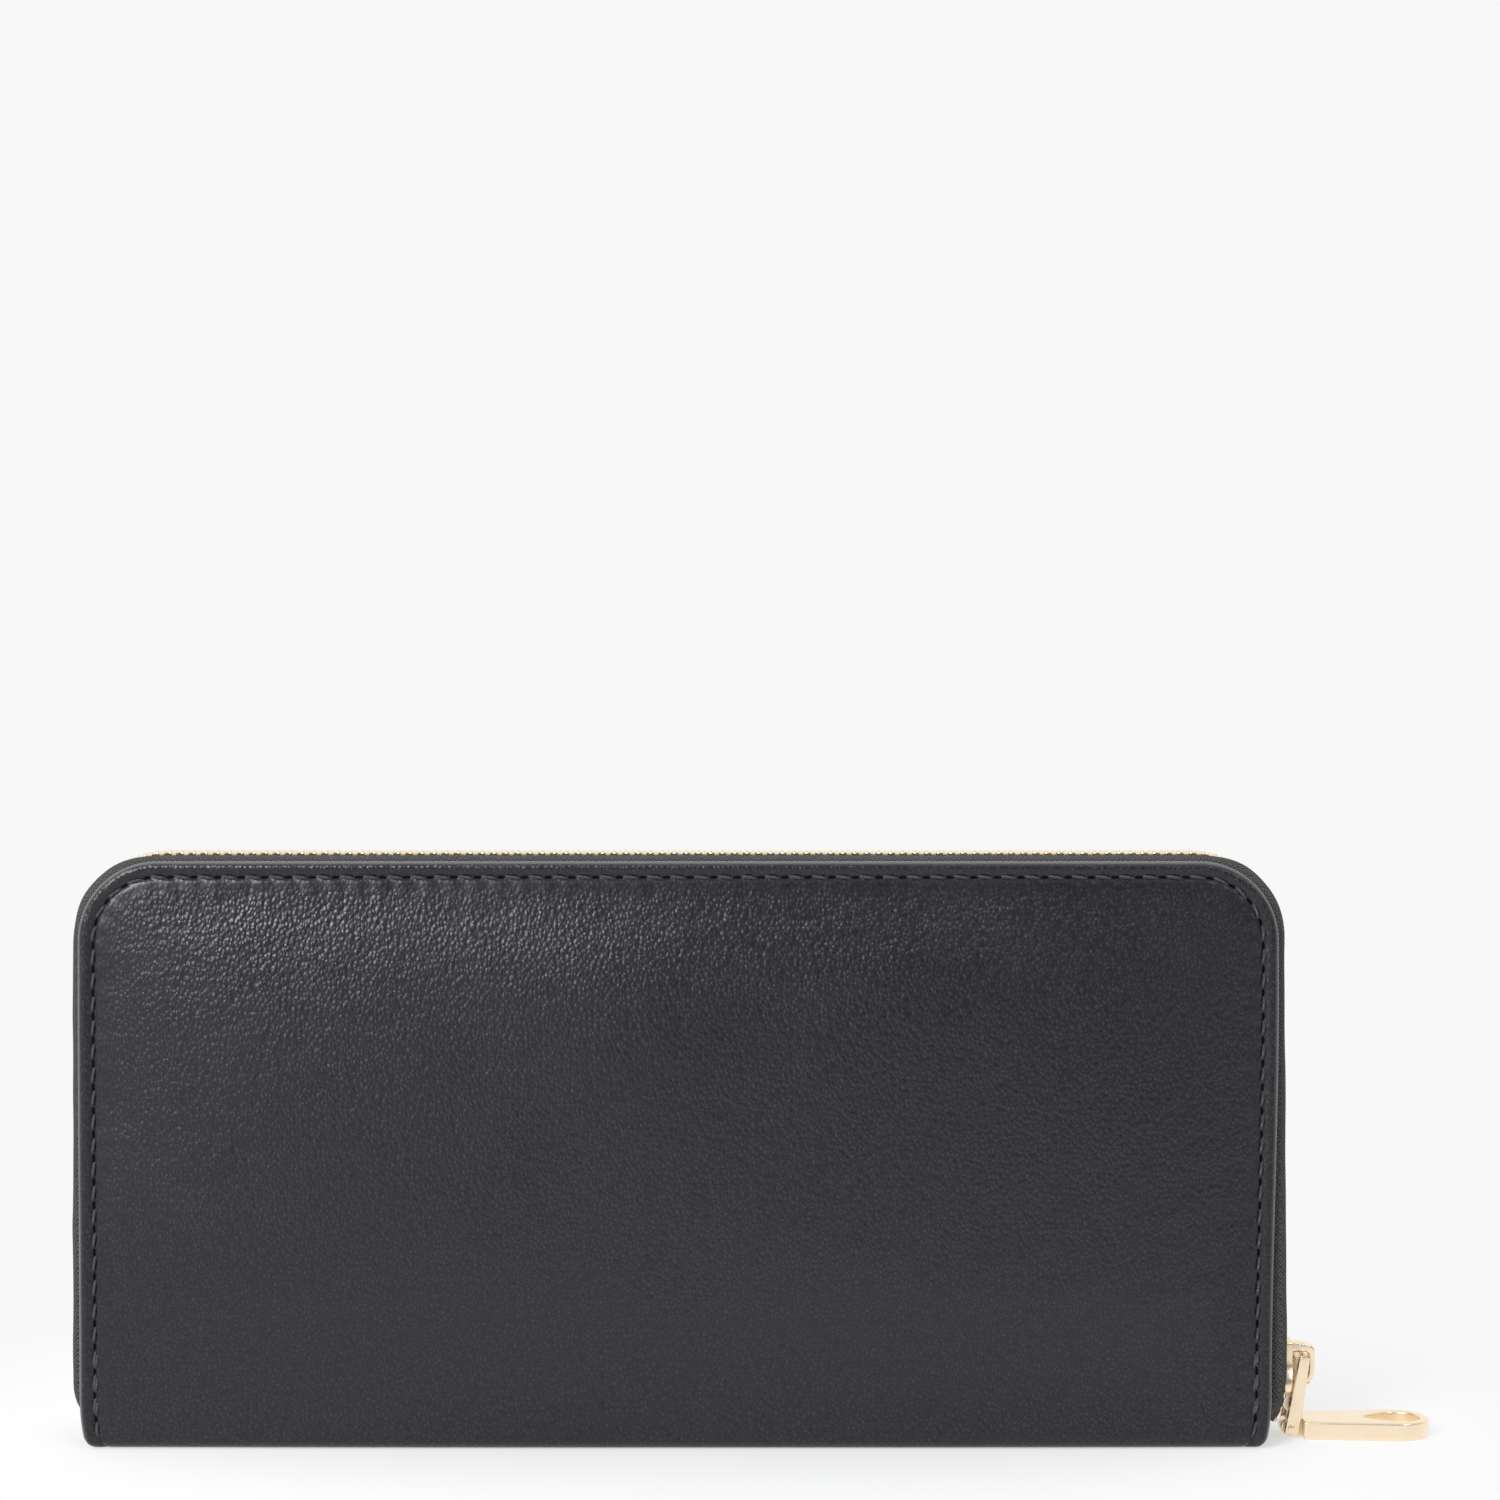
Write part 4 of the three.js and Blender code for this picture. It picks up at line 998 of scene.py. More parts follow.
def plate(outline, low, high, radius, axis, hole=None, steps=4):
    """A flat outline between two heights along an axis, its edges rounded by radius. Each loop is moved
    in along its own corner normals by radius times one minus the sine of the turn."""
    turn = np.linspace(0, math.pi / 2, steps)
    draw_in = radius * (1 - np.sin(turn))
    rise = radius * (1 - np.cos(turn))
    draw_in = np.concatenate([draw_in, draw_in[::-1]])
    level = np.concatenate([low + rise, (high - rise)[::-1]])
    loops = [wound(np.asarray(outline, float), False)]
    if hole is not None:
        loops.append(wound(np.asarray(hole, float), True))
    points, faces, caps, numbers, start = [], [], [[], []], [], 0
    for loop in loops:
        edge = np.roll(loop, -1, 0) - loop
        edge /= np.linalg.norm(edge, axis=1)[:, None]
        normal = np.stack([edge[:, 1], -edge[:, 0]], -1)
        both = normal + np.roll(normal, 1, 0)
        both /= np.maximum((both * both).sum(1)[:, None] / 2, 0.6)
        flat = loop[None] - draw_in[:, None, None] * both[None]
        height = np.broadcast_to(level[:, None, None], (*flat.shape[:2], 1))
        points.append(np.concatenate([flat, height], -1).reshape(-1, 3))
        faces.append(grid_faces(len(level), len(loop), True) + start)
        for cap, row in zip(caps, (0, len(level) - 1)):
            cap.append([(*p, 0) for p in flat[row].tolist()])
        numbers.append(start + np.arange(len(loop)))
        start += len(level) * len(loop)
    points = np.concatenate(points)
    last = [(len(level) - 1) * len(loop) for loop in loops]
    for cap, shifts, flip in ((caps[0], [0] * len(loops), True), (caps[1], last, False)):
        index = np.concatenate([n + s for n, s in zip(numbers, shifts)])
        triangles = np.array(tessellate_polygon(cap))
        a, b, c = (points[index[triangles[:, k]]][:, :2] for k in range(3))
        area = (b[:, 0] - a[:, 0]) * (c[:, 1] - a[:, 1]) - (b[:, 1] - a[:, 1]) * (c[:, 0] - a[:, 0])
        triangles = np.where((area < 0)[:, None], triangles[:, ::-1], triangles)
        faces.append(index[triangles][:, ::-1] if flip else index[triangles])
    order = {"X": [2, 0, 1], "Y": [0, 2, 1], "Z": [0, 1, 2]}[axis]
    return points[:, order], faces


def circle(x, y, radius, count=28):
    turn = np.arange(count) / count * math.tau
    return np.stack([x + radius * np.cos(turn), y + radius * np.sin(turn)], -1)


# %% [markdown]
# ## Slider
# The slider is two plates joined by a wedge between the rows. Each plate has a lip down both sides, and a
# slit between the lips lets the tape through. The plates are wide below, where the rows come apart, and
# narrow above, where they leave locked together. A plate's section is carried along the zip.

# %% Build the slider
slider_bottom, slider_top = slider_low[2], slider_high[2]
slit_half = 0.45
inner_half = 1.3
plate_thickness = 0.7
lip_thickness = 0.75


def slider_plate(out):
    """One plate: a flat U-shaped section, narrowing from the hip to the waist and rounded off at both
    ends. out is 1 for the outer plate and -1 for the inner one."""
    length = slider_top - slider_bottom
    share = np.array([0, 0.02, 0.06, 0.12, 0.2, 0.3, 0.4, 0.48, 0.56, 0.65, 0.78, 0.9, 0.95, 0.985, 1])
    z = slider_bottom + length * share
    wide = slider_high[1] - smoothstep((share - 0.2) / 0.36)
    trim = np.sqrt(np.clip(1 - ((0.10 - share) / 0.10).clip(0) ** 2, 0, 1))
    trim = np.minimum(trim, np.sqrt(np.clip(1 - ((share - 0.92) / 0.08).clip(0) ** 2, 0, 1)))
    wide = wide - 0.9 * (1 - trim)
    relieved = 0.42 * (1 - smoothstep((z - slider_bottom) / 3.6)) if out > 0 else 0 * z
    face = inner_half + 0.25 + (plate_thickness - 0.25) * (0.35 + 0.65 * trim) - relieved
    lip = wide - lip_thickness
    one = np.ones_like(z)
    dome, soft, chamfer = 0.12, 0.3, 0.09
    slit = slit_half * one
    section = [(slit, lip), (slit, wide - 0.1), (slit + 0.12, wide), (face - soft, wide),
               (face - chamfer, wide - chamfer), (face, wide - soft), (face + dome, 0.35 * wide),
               (face + dome, -0.35 * wide), (face, -wide + soft), (face - chamfer, -wide + chamfer),
               (face - soft, -wide), (slit + 0.12, -wide), (slit, -wide + 0.1),
               (slit, -lip), (inner_half * one, -lip), (inner_half * one, lip)]
    x = np.stack([zip_x + out * a for a, _ in section], -1)
    y = np.stack([b for _, b in section], -1)
    return loft(np.stack([x, y, np.broadcast_to(z[:, None], x.shape)], -1))


wedge_outline = rounded([(-0.3, slider_bottom + 0.3), (0.3, slider_bottom + 0.3),
                         (0.3, slider_bottom + 1.7), (0.06, slider_bottom + 2.6),
                         (-0.06, slider_bottom + 2.6), (-0.3, slider_bottom + 1.7)],
                        [0.2, 0.2, 0.3, 0.05, 0.05, 0.3])
wedge = plate(wedge_outline, zip_x - inner_half - 0.2, zip_x + inner_half + 0.2, 0.05, "X")
made = piece("zip_slider_body", together([slider_plate(1), slider_plate(-1), wedge]), gold, "slider",
             flats=True)
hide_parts("zip_slider")

# %% [markdown]
# ## Crown
# The crown is the arch on the slider's outer plate. The link's bar is trapped under it, and its thick
# upper end houses the lock. From the side it is a D with a window.

# %% Build the crown
crown_low, crown_high = box_mm("slider_crown")
foot_x, outer_x = crown_low[0] - 0.2, crown_high[0]
crown_bottom, crown_top = crown_low[2], crown_high[2]
arch = rounded([(foot_x, crown_bottom + 0.2), (outer_x - 1.7, crown_bottom), (outer_x, crown_bottom + 1.8),
                (outer_x, crown_top), (foot_x + 1.2, crown_top + 0.25), (foot_x, crown_top + 0.25)],
               [0.2, 1.2, 1.5, 1.5, 0.4, 0.15], 8)
window = rounded([(foot_x + 0.3, crown_bottom + 1.1), (outer_x - 2.0, crown_bottom + 1.0),
                  (outer_x - 1.0, crown_bottom + 2.3), (outer_x - 1.0, crown_top - 1.3),
                  (foot_x + 0.3, crown_top - 1.3)], [0.2, 0.7, 0.8, 0.8, 0.2], 8)
made = piece("slider_crown_arch", plate(arch, crown_low[1], crown_high[1], 0.32, "Y", window, 6), gold,
             "slider", flats=True)
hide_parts("slider_crown")

# %% [markdown]
# ## Link
# The link hangs from the crown by a round bar and ends in a fork that takes the pull's tongue. It is
# worked out hanging straight, thickening towards the fork, and then leant back against the wallet.

# %% Build the link
joints = {joint["name"]: joint for joint in frame["joints"]}
bar = np.array(joints["link_swing"]["pos_m"]) / MM
pin = np.array(joints["tab_swing"]["pos_m"]) / MM
reach = math.dist(bar, pin)
lean = math.atan2(bar[0] - pin[0], bar[2] - pin[2])
link_half = box_mm("pull_link")[1][1]
leg, ear = 1.2, 1.35
foot, fork_top, eye_bottom = -reach - 1.05, 2.5 - reach, -5.75
eye_top = [0.86, 0.8, 0.68, 0.5, 0.28, 0.0]
small = [0.04] * len(eye_top)
h_outline = rounded([(link_half, z) for z in eye_top] +
                    [(link_half, foot), (link_half - ear, foot), (link_half - ear, fork_top),
                     (ear - link_half, fork_top), (ear - link_half, foot), (-link_half, foot)] +
                    [(-link_half, z) for z in eye_top[::-1]] + [(leg - link_half, z) for z in eye_top] +
                    [(leg - link_half, eye_bottom), (link_half - leg, eye_bottom)] +
                    [(link_half - leg, z) for z in eye_top[::-1]],
                    small + [0.35, 0.3, 0.5, 0.5, 0.3, 0.35] + 2 * small + [1.2, 1.2] + small)


def lean_back(points):
    """Turns hanging points (x, y, z) by the lean about the bar and moves them to it."""
    x, y, z = points.T
    turned = [x * math.cos(lean) + z * math.sin(lean), y, z * math.cos(lean) - x * math.sin(lean)]
    return np.stack(turned, -1) + bar


def rod(radius, low, high, soft=0.12, count=28):
    """A cylinder along Y with softened ends."""
    return plate(circle(0, 0, radius, count), low, high, soft, "Y", steps=3)


points, faces = plate(h_outline, -1, 1, 0.26, "X")
thicker = np.where(points[:, 0] > 0, 1.5, 1.05)
taper = np.interp(points[:, 2], [foot, -2.5, 0.0], [0.0, 1.0, 1.0])
taper = thicker + (np.interp(points[:, 2], [-2.5, 0.0], [1.02, 0.9]) - thicker) * taper
grow = taper * np.sqrt(np.clip(1 - (points[:, 2].clip(0) / 0.9) ** 2, 0.05, 1))
link_body = lean_back(points * np.stack([grow, 1 + 0 * grow, 1 + 0 * grow], -1)), faces
bar_points, bar_faces = rod(0.85, 0.3 - link_half, link_half - 0.3, 0.1)
made = piece("pull_link_body", together([link_body, (lean_back(bar_points), bar_faces)]), gold, "link",
             flats=True)
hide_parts("pull_link")

pin_points, pin_faces = rod(0.6, -link_half - 0.16, link_half + 0.16, 0.06)
made = piece("link_pin_rod", (pin_points + pin, pin_faces), gold, "link", flats=True)
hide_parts("link_pin")

# %% [markdown]
# ## Pull tab
# The tab is a thick cast plate, a little wider at its round end, with an eye shaped like a drop for a
# fingertip or a charm. Its tongue turns on the link's pin. The top is left plain.

# %% Build the tab
tab_high = box_mm("pull_tab")[1]
shoulder = pin[0] + 1.9
end_radius = tab_high[1]
end_x = tab_high[0] - end_radius
neck = 4.25
bend = np.radians(np.linspace(-88, 88, 40))
nose = np.stack([end_x + end_radius * np.cos(bend), end_radius * np.sin(bend)], -1)
neck_points = [[shoulder + 6, neck + 0.42], [shoulder + 0.5, neck], [shoulder, neck - 0.5],
               [shoulder, -neck + 0.5], [shoulder + 0.5, -neck], [shoulder + 6, -neck - 0.42]]
tab_outline = np.concatenate([nose, neck_points])
eye_radius, drop_radius = 3.8, 1.7
eye_x = tab_high[0] - 1.4 - eye_radius
around = np.radians(np.linspace(-112, 112, 34))
point = np.radians(np.linspace(112, 248, 12))
drop_x = eye_x - eye_radius
eye = np.concatenate([np.stack([eye_x + eye_radius * np.cos(around), eye_radius * np.sin(around)], -1),
                      np.stack([drop_x + drop_radius * np.cos(point), drop_radius * np.sin(point)], -1)])
tab_plate = plate(tab_outline, 0, tab_high[2], 0.42, "Z", eye, 5)
knuckle = tab_high[2] / 2
turn = np.radians(np.linspace(90, 270, 18))
tongue = np.concatenate([np.stack([pin[0] + knuckle * np.cos(turn), knuckle + knuckle * np.sin(turn)], -1),
                         [[shoulder + 0.6, 0.02], [shoulder + 0.6, 2 * knuckle - 0.02]]])
tab_tongue = plate(tongue, -1.5, 1.5, 0.2, "Y")
made = piece("pull_tab_plate", together([tab_plate, tab_tongue]), gold, "tab", flats=True)
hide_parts("pull_tab")


# %% [markdown]
# ## Flat goods inside
# Linings, pockets and the coin pocket's walls are flat sheets with rounded corners and turned edges. They
# are built like the covers, from closed lines at growing insets, but much lighter, and they wave a little.

# %% Sheet helper
def sheet_shape(box, wave, top_radius, bottom_radius, seed):
    """A thin closed sheet in a box ((x0, x1), (y0, y1), (z0, z1)): rounded rectangles at growing insets,
    first over one face and then back over the other, waving by a few tenths of a millimetre."""
    (x0, x1), (y0, y1), (z0, z1) = box
    middle_x, middle_z = (x0 + x1) / 2, (z0 + z1) / 2
    edge = (y1 - y0) / 2
    deepest = (z1 - z0) / 2 - 0.5
    over = np.array([0, 0.3 * edge, edge, 0.8, 1.5, 3, 7, 14, 24, deepest])
    inset = np.concatenate([over[::-1], over[1:]])
    level = np.concatenate([np.full(8, 1.0), [0.75, 0.0], [-0.75], np.full(8, -1.0)])
    count = 40
    turn = np.linspace(0, 1, count, endpoint=False) * math.pi / 2
    rows = []
    for d, up in zip(inset, level):
        half_x, half_z = (x1 - x0) / 2 - d, (z1 - z0) / 2 - d
        rt, rb = max(top_radius - d, 0.4), max(bottom_radius - d, 0.4)
        x = np.concatenate([half_x - rt + rt * np.cos(turn), -half_x + rt - rt * np.sin(turn),
                            -half_x + rb - rb * np.cos(turn), half_x - rb + rb * np.sin(turn)])
        z = np.concatenate([half_z - rt + rt * np.sin(turn), half_z - rt + rt * np.cos(turn),
                            -half_z + rb - rb * np.sin(turn), -half_z + rb - rb * np.cos(turn)])
        free = smoothstep(d / 12)
        bow = wave * free * unevenness(x + middle_x, z + middle_z, 55, seed)
        rows.append(np.stack([middle_x + x, (y0 + y1) / 2 + up * edge + bow, middle_z + z], -1))
    shape = loft(np.array(rows))
    return shape, shape[0][:, [0, 2]]


def node_box(node, spare=0.0):
    """A solid's box as three ranges, drawn in by spare at both faces."""
    low, high = box_mm(node)
    return [(low[0], high[0]), (low[1] + spare, high[1] - spare), (low[2], high[2])]


print("a lining measures", [f"{high - low:.1f}" for low, high in node_box("rear_lining")], "mm")

# %% [markdown]
# ## Lining and pockets
# In each half the lining covers the board, a slip pocket the full width lies on it, and three card
# pockets step down in front. A line of small stitches runs under the top edge of every pocket.

# %% Build the linings and pockets
def top_stitches(name, node, side, face, body):
    """A row of small stitches along the top edge of a sheet, on the face that looks into the wallet."""
    (x0, x1), _, (_, z1) = node_box(node)
    centres = np.arange(x0 + 5, x1 - 5, 3.2)

    def line(run, across, height):
        return np.stack(np.broadcast_arrays(run, face - side * (height + 0.3), z1 - 1.6 + across), -1)

    sewn, uv = stitches(centres, 0 * centres, line, length=2.3, radius=0.15, slant=0.1, sink=0.25)
    made = piece(name, sewn, thread, body, uv=uv)


for name, side in halves.items():
    body = f"{name}_half"
    shape, uv = sheet_shape(node_box(f"{name}_lining"), 0.0, 9, 2, 5)
    made = piece(f"{name}_lining_cloth", shape, lining_cloth, body, uv=uv)
    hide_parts(f"{name}_lining")
    for node in ["slip_pocket", "card_pocket_1", "card_pocket_2", "card_pocket_3"]:
        box = node_box(f"{name}_{node}", 0.03)
        shape, uv = sheet_shape(box, 0.02, 3, 1.2, 7)
        made = piece(f"{name}_{node}_leather", shape, pocket_leather, body, uv=uv)
        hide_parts(f"{name}_{node}")
        face = box[1][0] if side > 0 else box[1][1]
        top_stitches(f"{name}_{node}_thread", f"{name}_{node}", side, face, body)

# %% [markdown]
# ## Gussets
# At each end a pleated cloth gusset joins the coin pocket's edge to the cover's lining. It keeps coins in
# and stops the cover from falling open. Its folded line is carried up the wallet.

# %% Build the gussets
gusset_half = 0.14
gusset_gap = 0.18


def gusset_shape(low, high, side, end):
    """The pleat's line in plan, its folds smoothed by averaging each point with its neighbours under a
    bell curve, carried up and waving a little."""
    wide = high[0] - low[0]
    inner, outer = (abs(v) for v in ((low[1], high[1]) if side > 0 else (high[1], low[1])))
    inner, outer = inner + gusset_gap, outer - gusset_gap
    deep = outer - inner
    near = min(abs(low[0]), abs(high[0])) + 0.2
    fold_x = np.array([3.2, 5.6, 6.3, 5.6, 2.6, 0.25, 2.6, 6.0, 9.0, wide - 0.4])
    fold_y = inner + deep * np.array([0, 0, 0.09, 0.17, 0.28, 0.40, 0.52, 0.80, 0.985, 1.0])
    knots = np.arange(len(fold_x))
    fine = np.linspace(0, knots[-1], 46)
    weights = np.exp(-(((fine[:, None] - knots) / 0.42) ** 2))
    weights /= weights.sum(1)[:, None]
    line = np.stack([weights @ fold_x, weights @ fold_y], -1)
    tangent = np.gradient(line, axis=0)
    tangent /= np.linalg.norm(tangent, axis=1)[:, None]
    normal = gusset_half * np.stack([-tangent[:, 1], tangent[:, 0]], -1)
    ring = np.concatenate([line + normal, (line - normal)[::-1]])
    length = np.concatenate([[0], np.cumsum(np.hypot(*np.diff(line, axis=0).T))])
    z = np.linspace(low[2], high[2], 40)
    loose = np.sin(math.pi * (ring[:, 1] - inner) / deep) ** 2
    shift = 0.18 * unevenness(z, 0 * z, 30, 41 + end)[:, None] * loose
    x = end * (near + ring[:, 0] + shift)
    y = np.broadcast_to(side * ring[:, 1], x.shape)
    rings = np.stack([x, y, np.broadcast_to(z[:, None], x.shape)], -1)
    both = np.concatenate([length, length[::-1]])
    uv = np.stack(np.broadcast_arrays(both, z[:, None]), -1).reshape(-1, 2)
    return loft(rings), uv, float(length[-1])


for name, side in halves.items():
    for part, end in (("pull_end", 1), ("far_end", -1)):
        node = f"{name}_gusset_{part}"
        low, high = box_mm(node)
        shape, uv, length = gusset_shape(low, high, side, end)
        made = piece(f"{node}_cloth", shape, lining_cloth, uv=uv, smooth=80)
        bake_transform(made)
        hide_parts(node)

# %% [markdown]
# ## Coin pocket
# A zipped coin pocket stands between the covers and divides the wallet. Its two walls are thin leather,
# a cloth bag hangs between them, and their tops carry a nylon coil zip.

# %% Build the coin pocket's walls and tapes
coin_tape_half = 0.2
coin_tape_seat = 2.62
for name, side in halves.items():
    node = f"coin_pocket_{name}_wall"
    shape, uv = sheet_shape(node_box(node, 0.03), 0.05, 3, 1, 9)
    made = piece(f"{node}_leather", shape, pocket_leather, "spine", uv=uv)
    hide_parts(node)
    low, high = box_mm(f"coin_zip_{name}_tape")
    top = high[2] - 0.23
    middle = np.array([[1.3, top], [1.9, top + 0.05], [2.7, top], [3.4, top - 0.2], [3.7, top - 0.7],
                       [3.4, top - 2.2], [2.95, top - 4.5], [coin_tape_seat, top - 7.2],
                       [coin_tape_seat, top - 12.5]])
    tangent = np.gradient(middle, axis=0)
    tangent /= np.linalg.norm(tangent, axis=1)[:, None]
    normal = coin_tape_half * np.stack([-tangent[:, 1], tangent[:, 0]], -1)
    ring = np.concatenate([middle + normal, (middle - normal)[::-1]])
    across = np.concatenate([[0], np.cumsum(np.hypot(*np.diff(middle, axis=0).T))])
    x = np.linspace(low[0], high[0], 90)[:, None]
    wavy = 0.06 * unevenness(x, 0 * x, 12, 51 + side) * smoothstep((ring[:, 1] - top + 6) / 4)
    rings = np.stack(np.broadcast_arrays(x, side * (ring[:, 0] + wavy), ring[:, 1]), -1)
    uv = np.stack(np.broadcast_arrays(x, np.concatenate([across, across[::-1]])), -1).reshape(-1, 2)
    made = piece(f"coin_zip_{name}_tape_cloth", loft(rings), tape_cloth, "spine", uv=uv, smooth=80)
    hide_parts(f"coin_zip_{name}_tape")

# %% [markdown]
# The bag is one strip of cloth folded into a U and hung by its two edges from the zip tapes. Its section is
# a few points of that U with a thinner one inside it. The spine's lining is a flat strip over the board.

# %% Build the bag and the spine's lining
bag_low, bag_high = box_mm("coin_pocket_bag")
bag_floor, bag_half = bag_low[2], 1.55
bag_line = np.array([[-bag_half, bag_high[2]], [-bag_half, bag_floor + 1.6], [-1.2, bag_floor + 0.5],
                     [-0.5, bag_floor + 0.2], [0.5, bag_floor + 0.2], [1.2, bag_floor + 0.5],
                     [bag_half, bag_floor + 1.6], [bag_half, bag_high[2]]])
inner_line = bag_line * [0.84, 1]
inner_line[:, 1] += [0, 0, 0.2, 0.25, 0.25, 0.2, 0, 0]
ring = np.concatenate([bag_line, inner_line[::-1]])
x = np.linspace(bag_low[0], bag_high[0], 60)[:, None]
rings = np.stack(np.broadcast_arrays(x, ring[:, 0], ring[:, 1]), -1)
around = np.concatenate([[0], np.cumsum(np.hypot(*np.diff(bag_line, axis=0).T))])
uv = np.stack(np.broadcast_arrays(x, np.concatenate([around, around[::-1]])), -1).reshape(-1, 2)
made = piece("coin_pocket_bag_cloth", loft(rings), lining_cloth, "spine", uv=uv)
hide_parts("coin_pocket_bag")

low, high = box_mm("spine_lining")
spine_outline = rounded([(low[0], low[1]), (high[0], low[1]), (high[0], high[1]), (low[0], high[1])], 2)
shape = plate(spine_outline, low[2], high[2], 0.1, "Z")
made = piece("spine_lining_cloth", shape, lining_cloth, "spine", uv=shape[0][:, :2])
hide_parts("spine_lining")

# %% [markdown]
# ## Coils and coin zip slider
# A coil zip's teeth are one nylon thread wound flat. Each turn is a short loop, so the coil is a helix:
# a point that goes round a flat oval as it moves along, with a thin thread carried along it.

# %% Build the coils
coil_pitch = 1.3
coil_thread = 0.25


def coil_shape(side, low, high):
    """A thread of six sides carried along a helix: across and up are a cosine and sine of the turn."""
    turns = int((high[0] - low[0]) / coil_pitch)
    angle = np.linspace(0, turns * math.tau, turns * 10)
    middle_z, half_z = (low[2] + high[2]) / 2, (high[2] - low[2]) / 2 - 0.26
    inner, outer = sorted((abs(low[1]), abs(high[1])))
    centre_y, half_y = (inner + outer) / 2, (outer - inner) / 2 - 0.26
    line = np.stack([low[0] + 0.4 + (high[0] - low[0] - 0.8) * angle / angle[-1],
                     side * (centre_y + half_y * np.cos(angle)), middle_z + half_z * np.sin(angle)], -1)
    tangent = np.gradient(line, axis=0)
    tangent /= np.linalg.norm(tangent, axis=1)[:, None]
    first = np.cross(tangent, [1, 0, 0])
    first /= np.linalg.norm(first, axis=1)[:, None]
    second = np.cross(tangent, first)
    turn = np.arange(6) / 6 * math.tau
    ring = first[:, None] * np.cos(turn)[None, :, None] + second[:, None] * np.sin(turn)[None, :, None]
    return loft(line[:, None] + coil_thread * ring)


for name, side in halves.items():
    node = f"coin_zip_{name}_coil"
    made = piece(f"{node}_nylon", coil_shape(side, *box_mm(node)), nylon, "spine", smooth=80)
    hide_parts(node)

# %% [markdown]
# The coin zip's slider is the small sister of the outer one: two plates with a rail down each side, a
# thin blade between them that parts the coils, and a low bridge for its pull. All of its parts are plates
# with rounded edges, so the helper that made the outer pull makes them too.

# %% Build the coin zip's slider and tab
low, high = box_mm("coin_zip_slider")
mouth, nose = low[0], high[0]
coil_z = (box_mm("coin_zip_rear_coil")[0][2] + box_mm("coin_zip_rear_coil")[1][2]) / 2
shapes = []
for out in (1, -1):
    z_in, z_out, z_lip = coil_z + out * 1.1, coil_z + out * 1.8, coil_z + out * 0.45
    outline = rounded([(mouth, -2.4), (nose - 4, -2.7), (nose - 2.5, low[1]), (nose, low[1] + 0.8),
                       (nose, high[1] - 0.8), (nose - 2.5, high[1]), (nose - 4, 2.7), (mouth, 2.4)], 0.5)
    shapes.append(plate(outline, min(z_in, z_out), max(z_in, z_out), 0.22, "Z"))
    for side in (1, -1):
        rail = rounded([(mouth + 0.3, side * 2.45), (nose - 4, side * 2.45), (nose - 2.6, side * 2.5),
                        (nose - 0.6, side * 2.5), (nose - 0.6, side * 3.0), (nose - 4.2, side * 3.0),
                        (mouth + 0.3, side * 2.7)], 0.1)
        shapes.append(plate(rail, min(z_lip, z_in + out * 0.1), max(z_lip, z_in + out * 0.1), 0.08, "Z"))
blade = rounded([(nose - 2.4, -0.05), (nose - 1.2, -0.05), (nose - 1.2, 0.05), (nose - 2.4, 0.05)], 0.02)
post = plate(blade, coil_z - 1.3, coil_z + 1.3, 0.01, "Z")
bridge_top, bridge_foot = high[2], coil_z + 1.7
arch = rounded([(mouth + 1, bridge_foot), (nose - 1, bridge_foot), (nose - 1, bridge_top),
                (mouth + 1, bridge_top)], [0.1, 0.1, 1.4, 1.4], 8)
window = rounded([(mouth + 1.9, bridge_foot + 0.35), (nose - 1.9, bridge_foot + 0.35),
                  (nose - 1.9, bridge_top - 0.7), (mouth + 1.9, bridge_top - 0.7)], [0.2, 0.2, 0.8, 0.8], 8)
shapes += [post, plate(arch, -0.9, 0.9, 0.25, "Y", window)]
made = piece("coin_zip_slider_body", together(shapes), gold, "coin_slider", flats=True)
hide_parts("coin_zip_slider")

low, high = box_mm("coin_pull_tab")
outline = rounded([(low[0], low[1]), (high[0] - 5, low[1]), (high[0], low[1] + 0.7), (high[0], high[1] - 0.7),
                   (high[0] - 5, high[1]), (low[0], high[1])], [1.8, 1.5, 0.6, 0.6, 1.5, 1.8], 7)
ring_hole = rounded([(high[0] - 1, -1.15), (high[0] - 1, 1.15), (high[0] - 4.9, 1.15),
                     (high[0] - 4.9, -1.15)], 0.4)
made = piece("coin_pull_tab_plate", plate(outline, low[2], high[2], 0.3, "Z", ring_hole), gold, "coin_tab",
             flats=True)
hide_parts("coin_pull_tab")

# %% [markdown]
# ## Table and surround
# The wallet stands on a plain white table in front of a white wall. The table takes the wallet's soft
# shadow close by, and fades to a plain glow further off, so that no horizon shows. The surround is a world
# that is bright behind the wallet and dim in front, which keeps black leather black.

# %% Table and surround
table_size = 6000
table_drop = 0.02
table_corners = np.array([[-1, -1, 0], [1, -1, 0], [1, 1, 0], [-1, 1, 0]])
table_points = table_corners * table_size - np.array([0, 0, table_drop])
white, tree, shader = finish("white table", (0.8, 0.8, 0.8), 1.0, Specular_IOR_Level=0.0,
                             Emission_Strength=1.0)
from_middle = tree.nodes.new("ShaderNodeVectorMath")
from_middle.operation = "LENGTH"
wire(tree, object_coordinates(tree), from_middle.inputs[0])
far_off = tree.nodes.new("ShaderNodeMapRange")
far_off.interpolation_type = "SMOOTHSTEP"
far_off.inputs["From Min"].default_value = 0.03
far_off.inputs["From Max"].default_value = 0.17
wire(tree, from_middle.outputs["Value"], far_off.inputs["Value"])
wire(tree, blend_colors(tree, far_off.outputs["Result"], (0.8, 0.8, 0.8), (0.0, 0.0, 0.0)),
     shader.inputs["Base Color"])
wire(tree, blend_colors(tree, far_off.outputs["Result"], (0.16, 0.16, 0.16), (0.94, 0.94, 0.94)),
     shader.inputs["Emission Color"])
mesh = bpy.data.meshes.new("table")
mesh.from_pydata((table_points * MM).tolist(), [], [(0, 1, 2, 3)])
mesh.materials.append(white)
table = bpy.data.objects.new("table", mesh)
bpy.context.scene.collection.objects.link(table)
print(f"table {2 * table_size * MM:.0f} m wide")

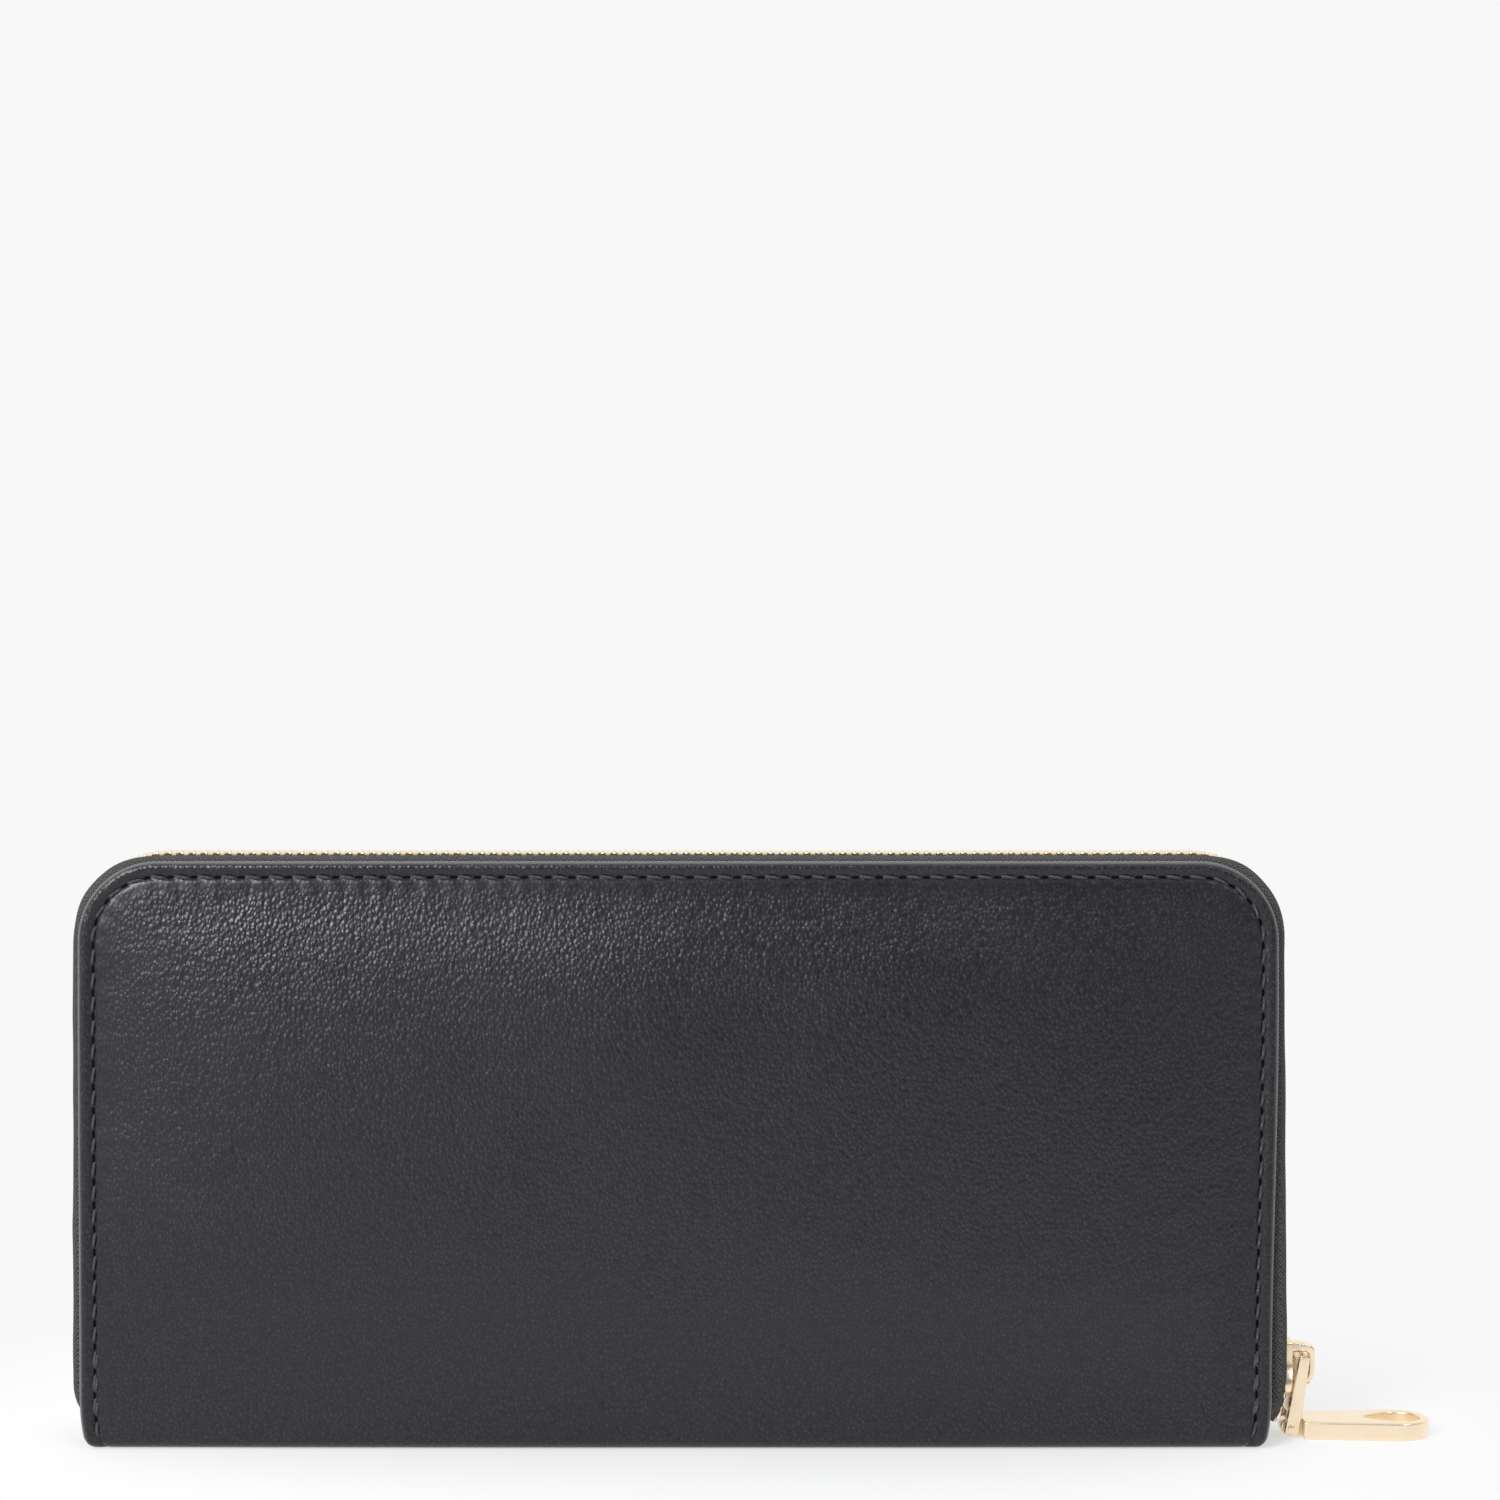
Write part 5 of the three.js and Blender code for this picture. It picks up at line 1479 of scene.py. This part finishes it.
world = bpy.data.worlds.new("white surround")
world.use_nodes = True
bpy.context.scene.world = world
tree = world.node_tree
background = tree.nodes["Background"]
seen = tree.nodes.new("ShaderNodeLightPath")
direction = tree.nodes.new("ShaderNodeTexCoord")
behind = tree.nodes.new("ShaderNodeVectorMath")
behind.operation = "DOT_PRODUCT"
behind.inputs[1].default_value = (-0.1, 0.85, 0.5)
wire(tree, direction.outputs["Generated"], behind.inputs[0])
surround = tree.nodes.new("ShaderNodeMapRange")
surround.inputs["From Min"].default_value = -0.75
surround.inputs["From Max"].default_value = 0.5
surround.inputs["To Min"].default_value = 0.08
surround.inputs["To Max"].default_value = 0.95
wire(tree, behind.outputs["Value"], surround.inputs["Value"])
level = tree.nodes.new("ShaderNodeMix")
level.data_type = "FLOAT"
level.inputs[3].default_value = 0.94
wire(tree, surround.outputs["Result"], level.inputs[2])
wire(tree, seen.outputs["Is Camera Ray"], level.inputs[0])
wire(tree, level.outputs[0], background.inputs["Strength"])
background.inputs["Color"].default_value = (1, 1, 1, 1)


# %% [markdown]
# ## Lights
# A soft light from the upper left gives the leather its sheen along the top of the padding. A weaker and
# cooler one from the right keeps that end from going flat.

# %% Lights
def area_light(name, place, target, size, power, color=(1, 1, 1)):
    """A square area light that looks from place to target, both in metres."""
    data = bpy.data.lights.new(name, "AREA")
    data.size = size
    data.energy = power
    data.color = color
    light = bpy.data.objects.new(name, data)
    bpy.context.scene.collection.objects.link(light)
    way = np.array(target) - np.array(place)
    light.location = place
    tilt = math.acos(-way[2] / np.linalg.norm(way))
    light.rotation_euler = (tilt, 0, math.atan2(way[1], way[0]) - math.pi / 2)
    return light


area_light("key light", (-0.62, -0.95, 0.62), (-0.03, 0, 0.05), 0.4, 15.0)
area_light("fill light", (0.62, -0.95, 0.72), (0.06, 0, 0.06), 0.35, 2.6, (0.85, 0.9, 1))
print("lights:", [data.name for data in bpy.data.lights])

# %% [markdown]
# ## Camera
# The camera is level, a little above the wallet and to the right of its middle, half a metre back, with
# a long lens. Colours are shown as they are, without a film curve.

# %% Camera
camera_data = bpy.data.cameras.new("camera")
camera_data.sensor_width = 36
camera_data.lens = 72
camera = bpy.data.objects.new("camera", camera_data)
bpy.context.scene.collection.objects.link(camera)
camera.location = (0.0117, -0.5, 0.114)
camera.rotation_euler = (math.pi / 2, 0, 0)
bpy.context.scene.camera = camera
bpy.context.scene.view_settings.view_transform = "Standard"
print(f"camera {abs(camera.location.y):.2f} m in front, {camera_data.lens:.0f} mm lens")
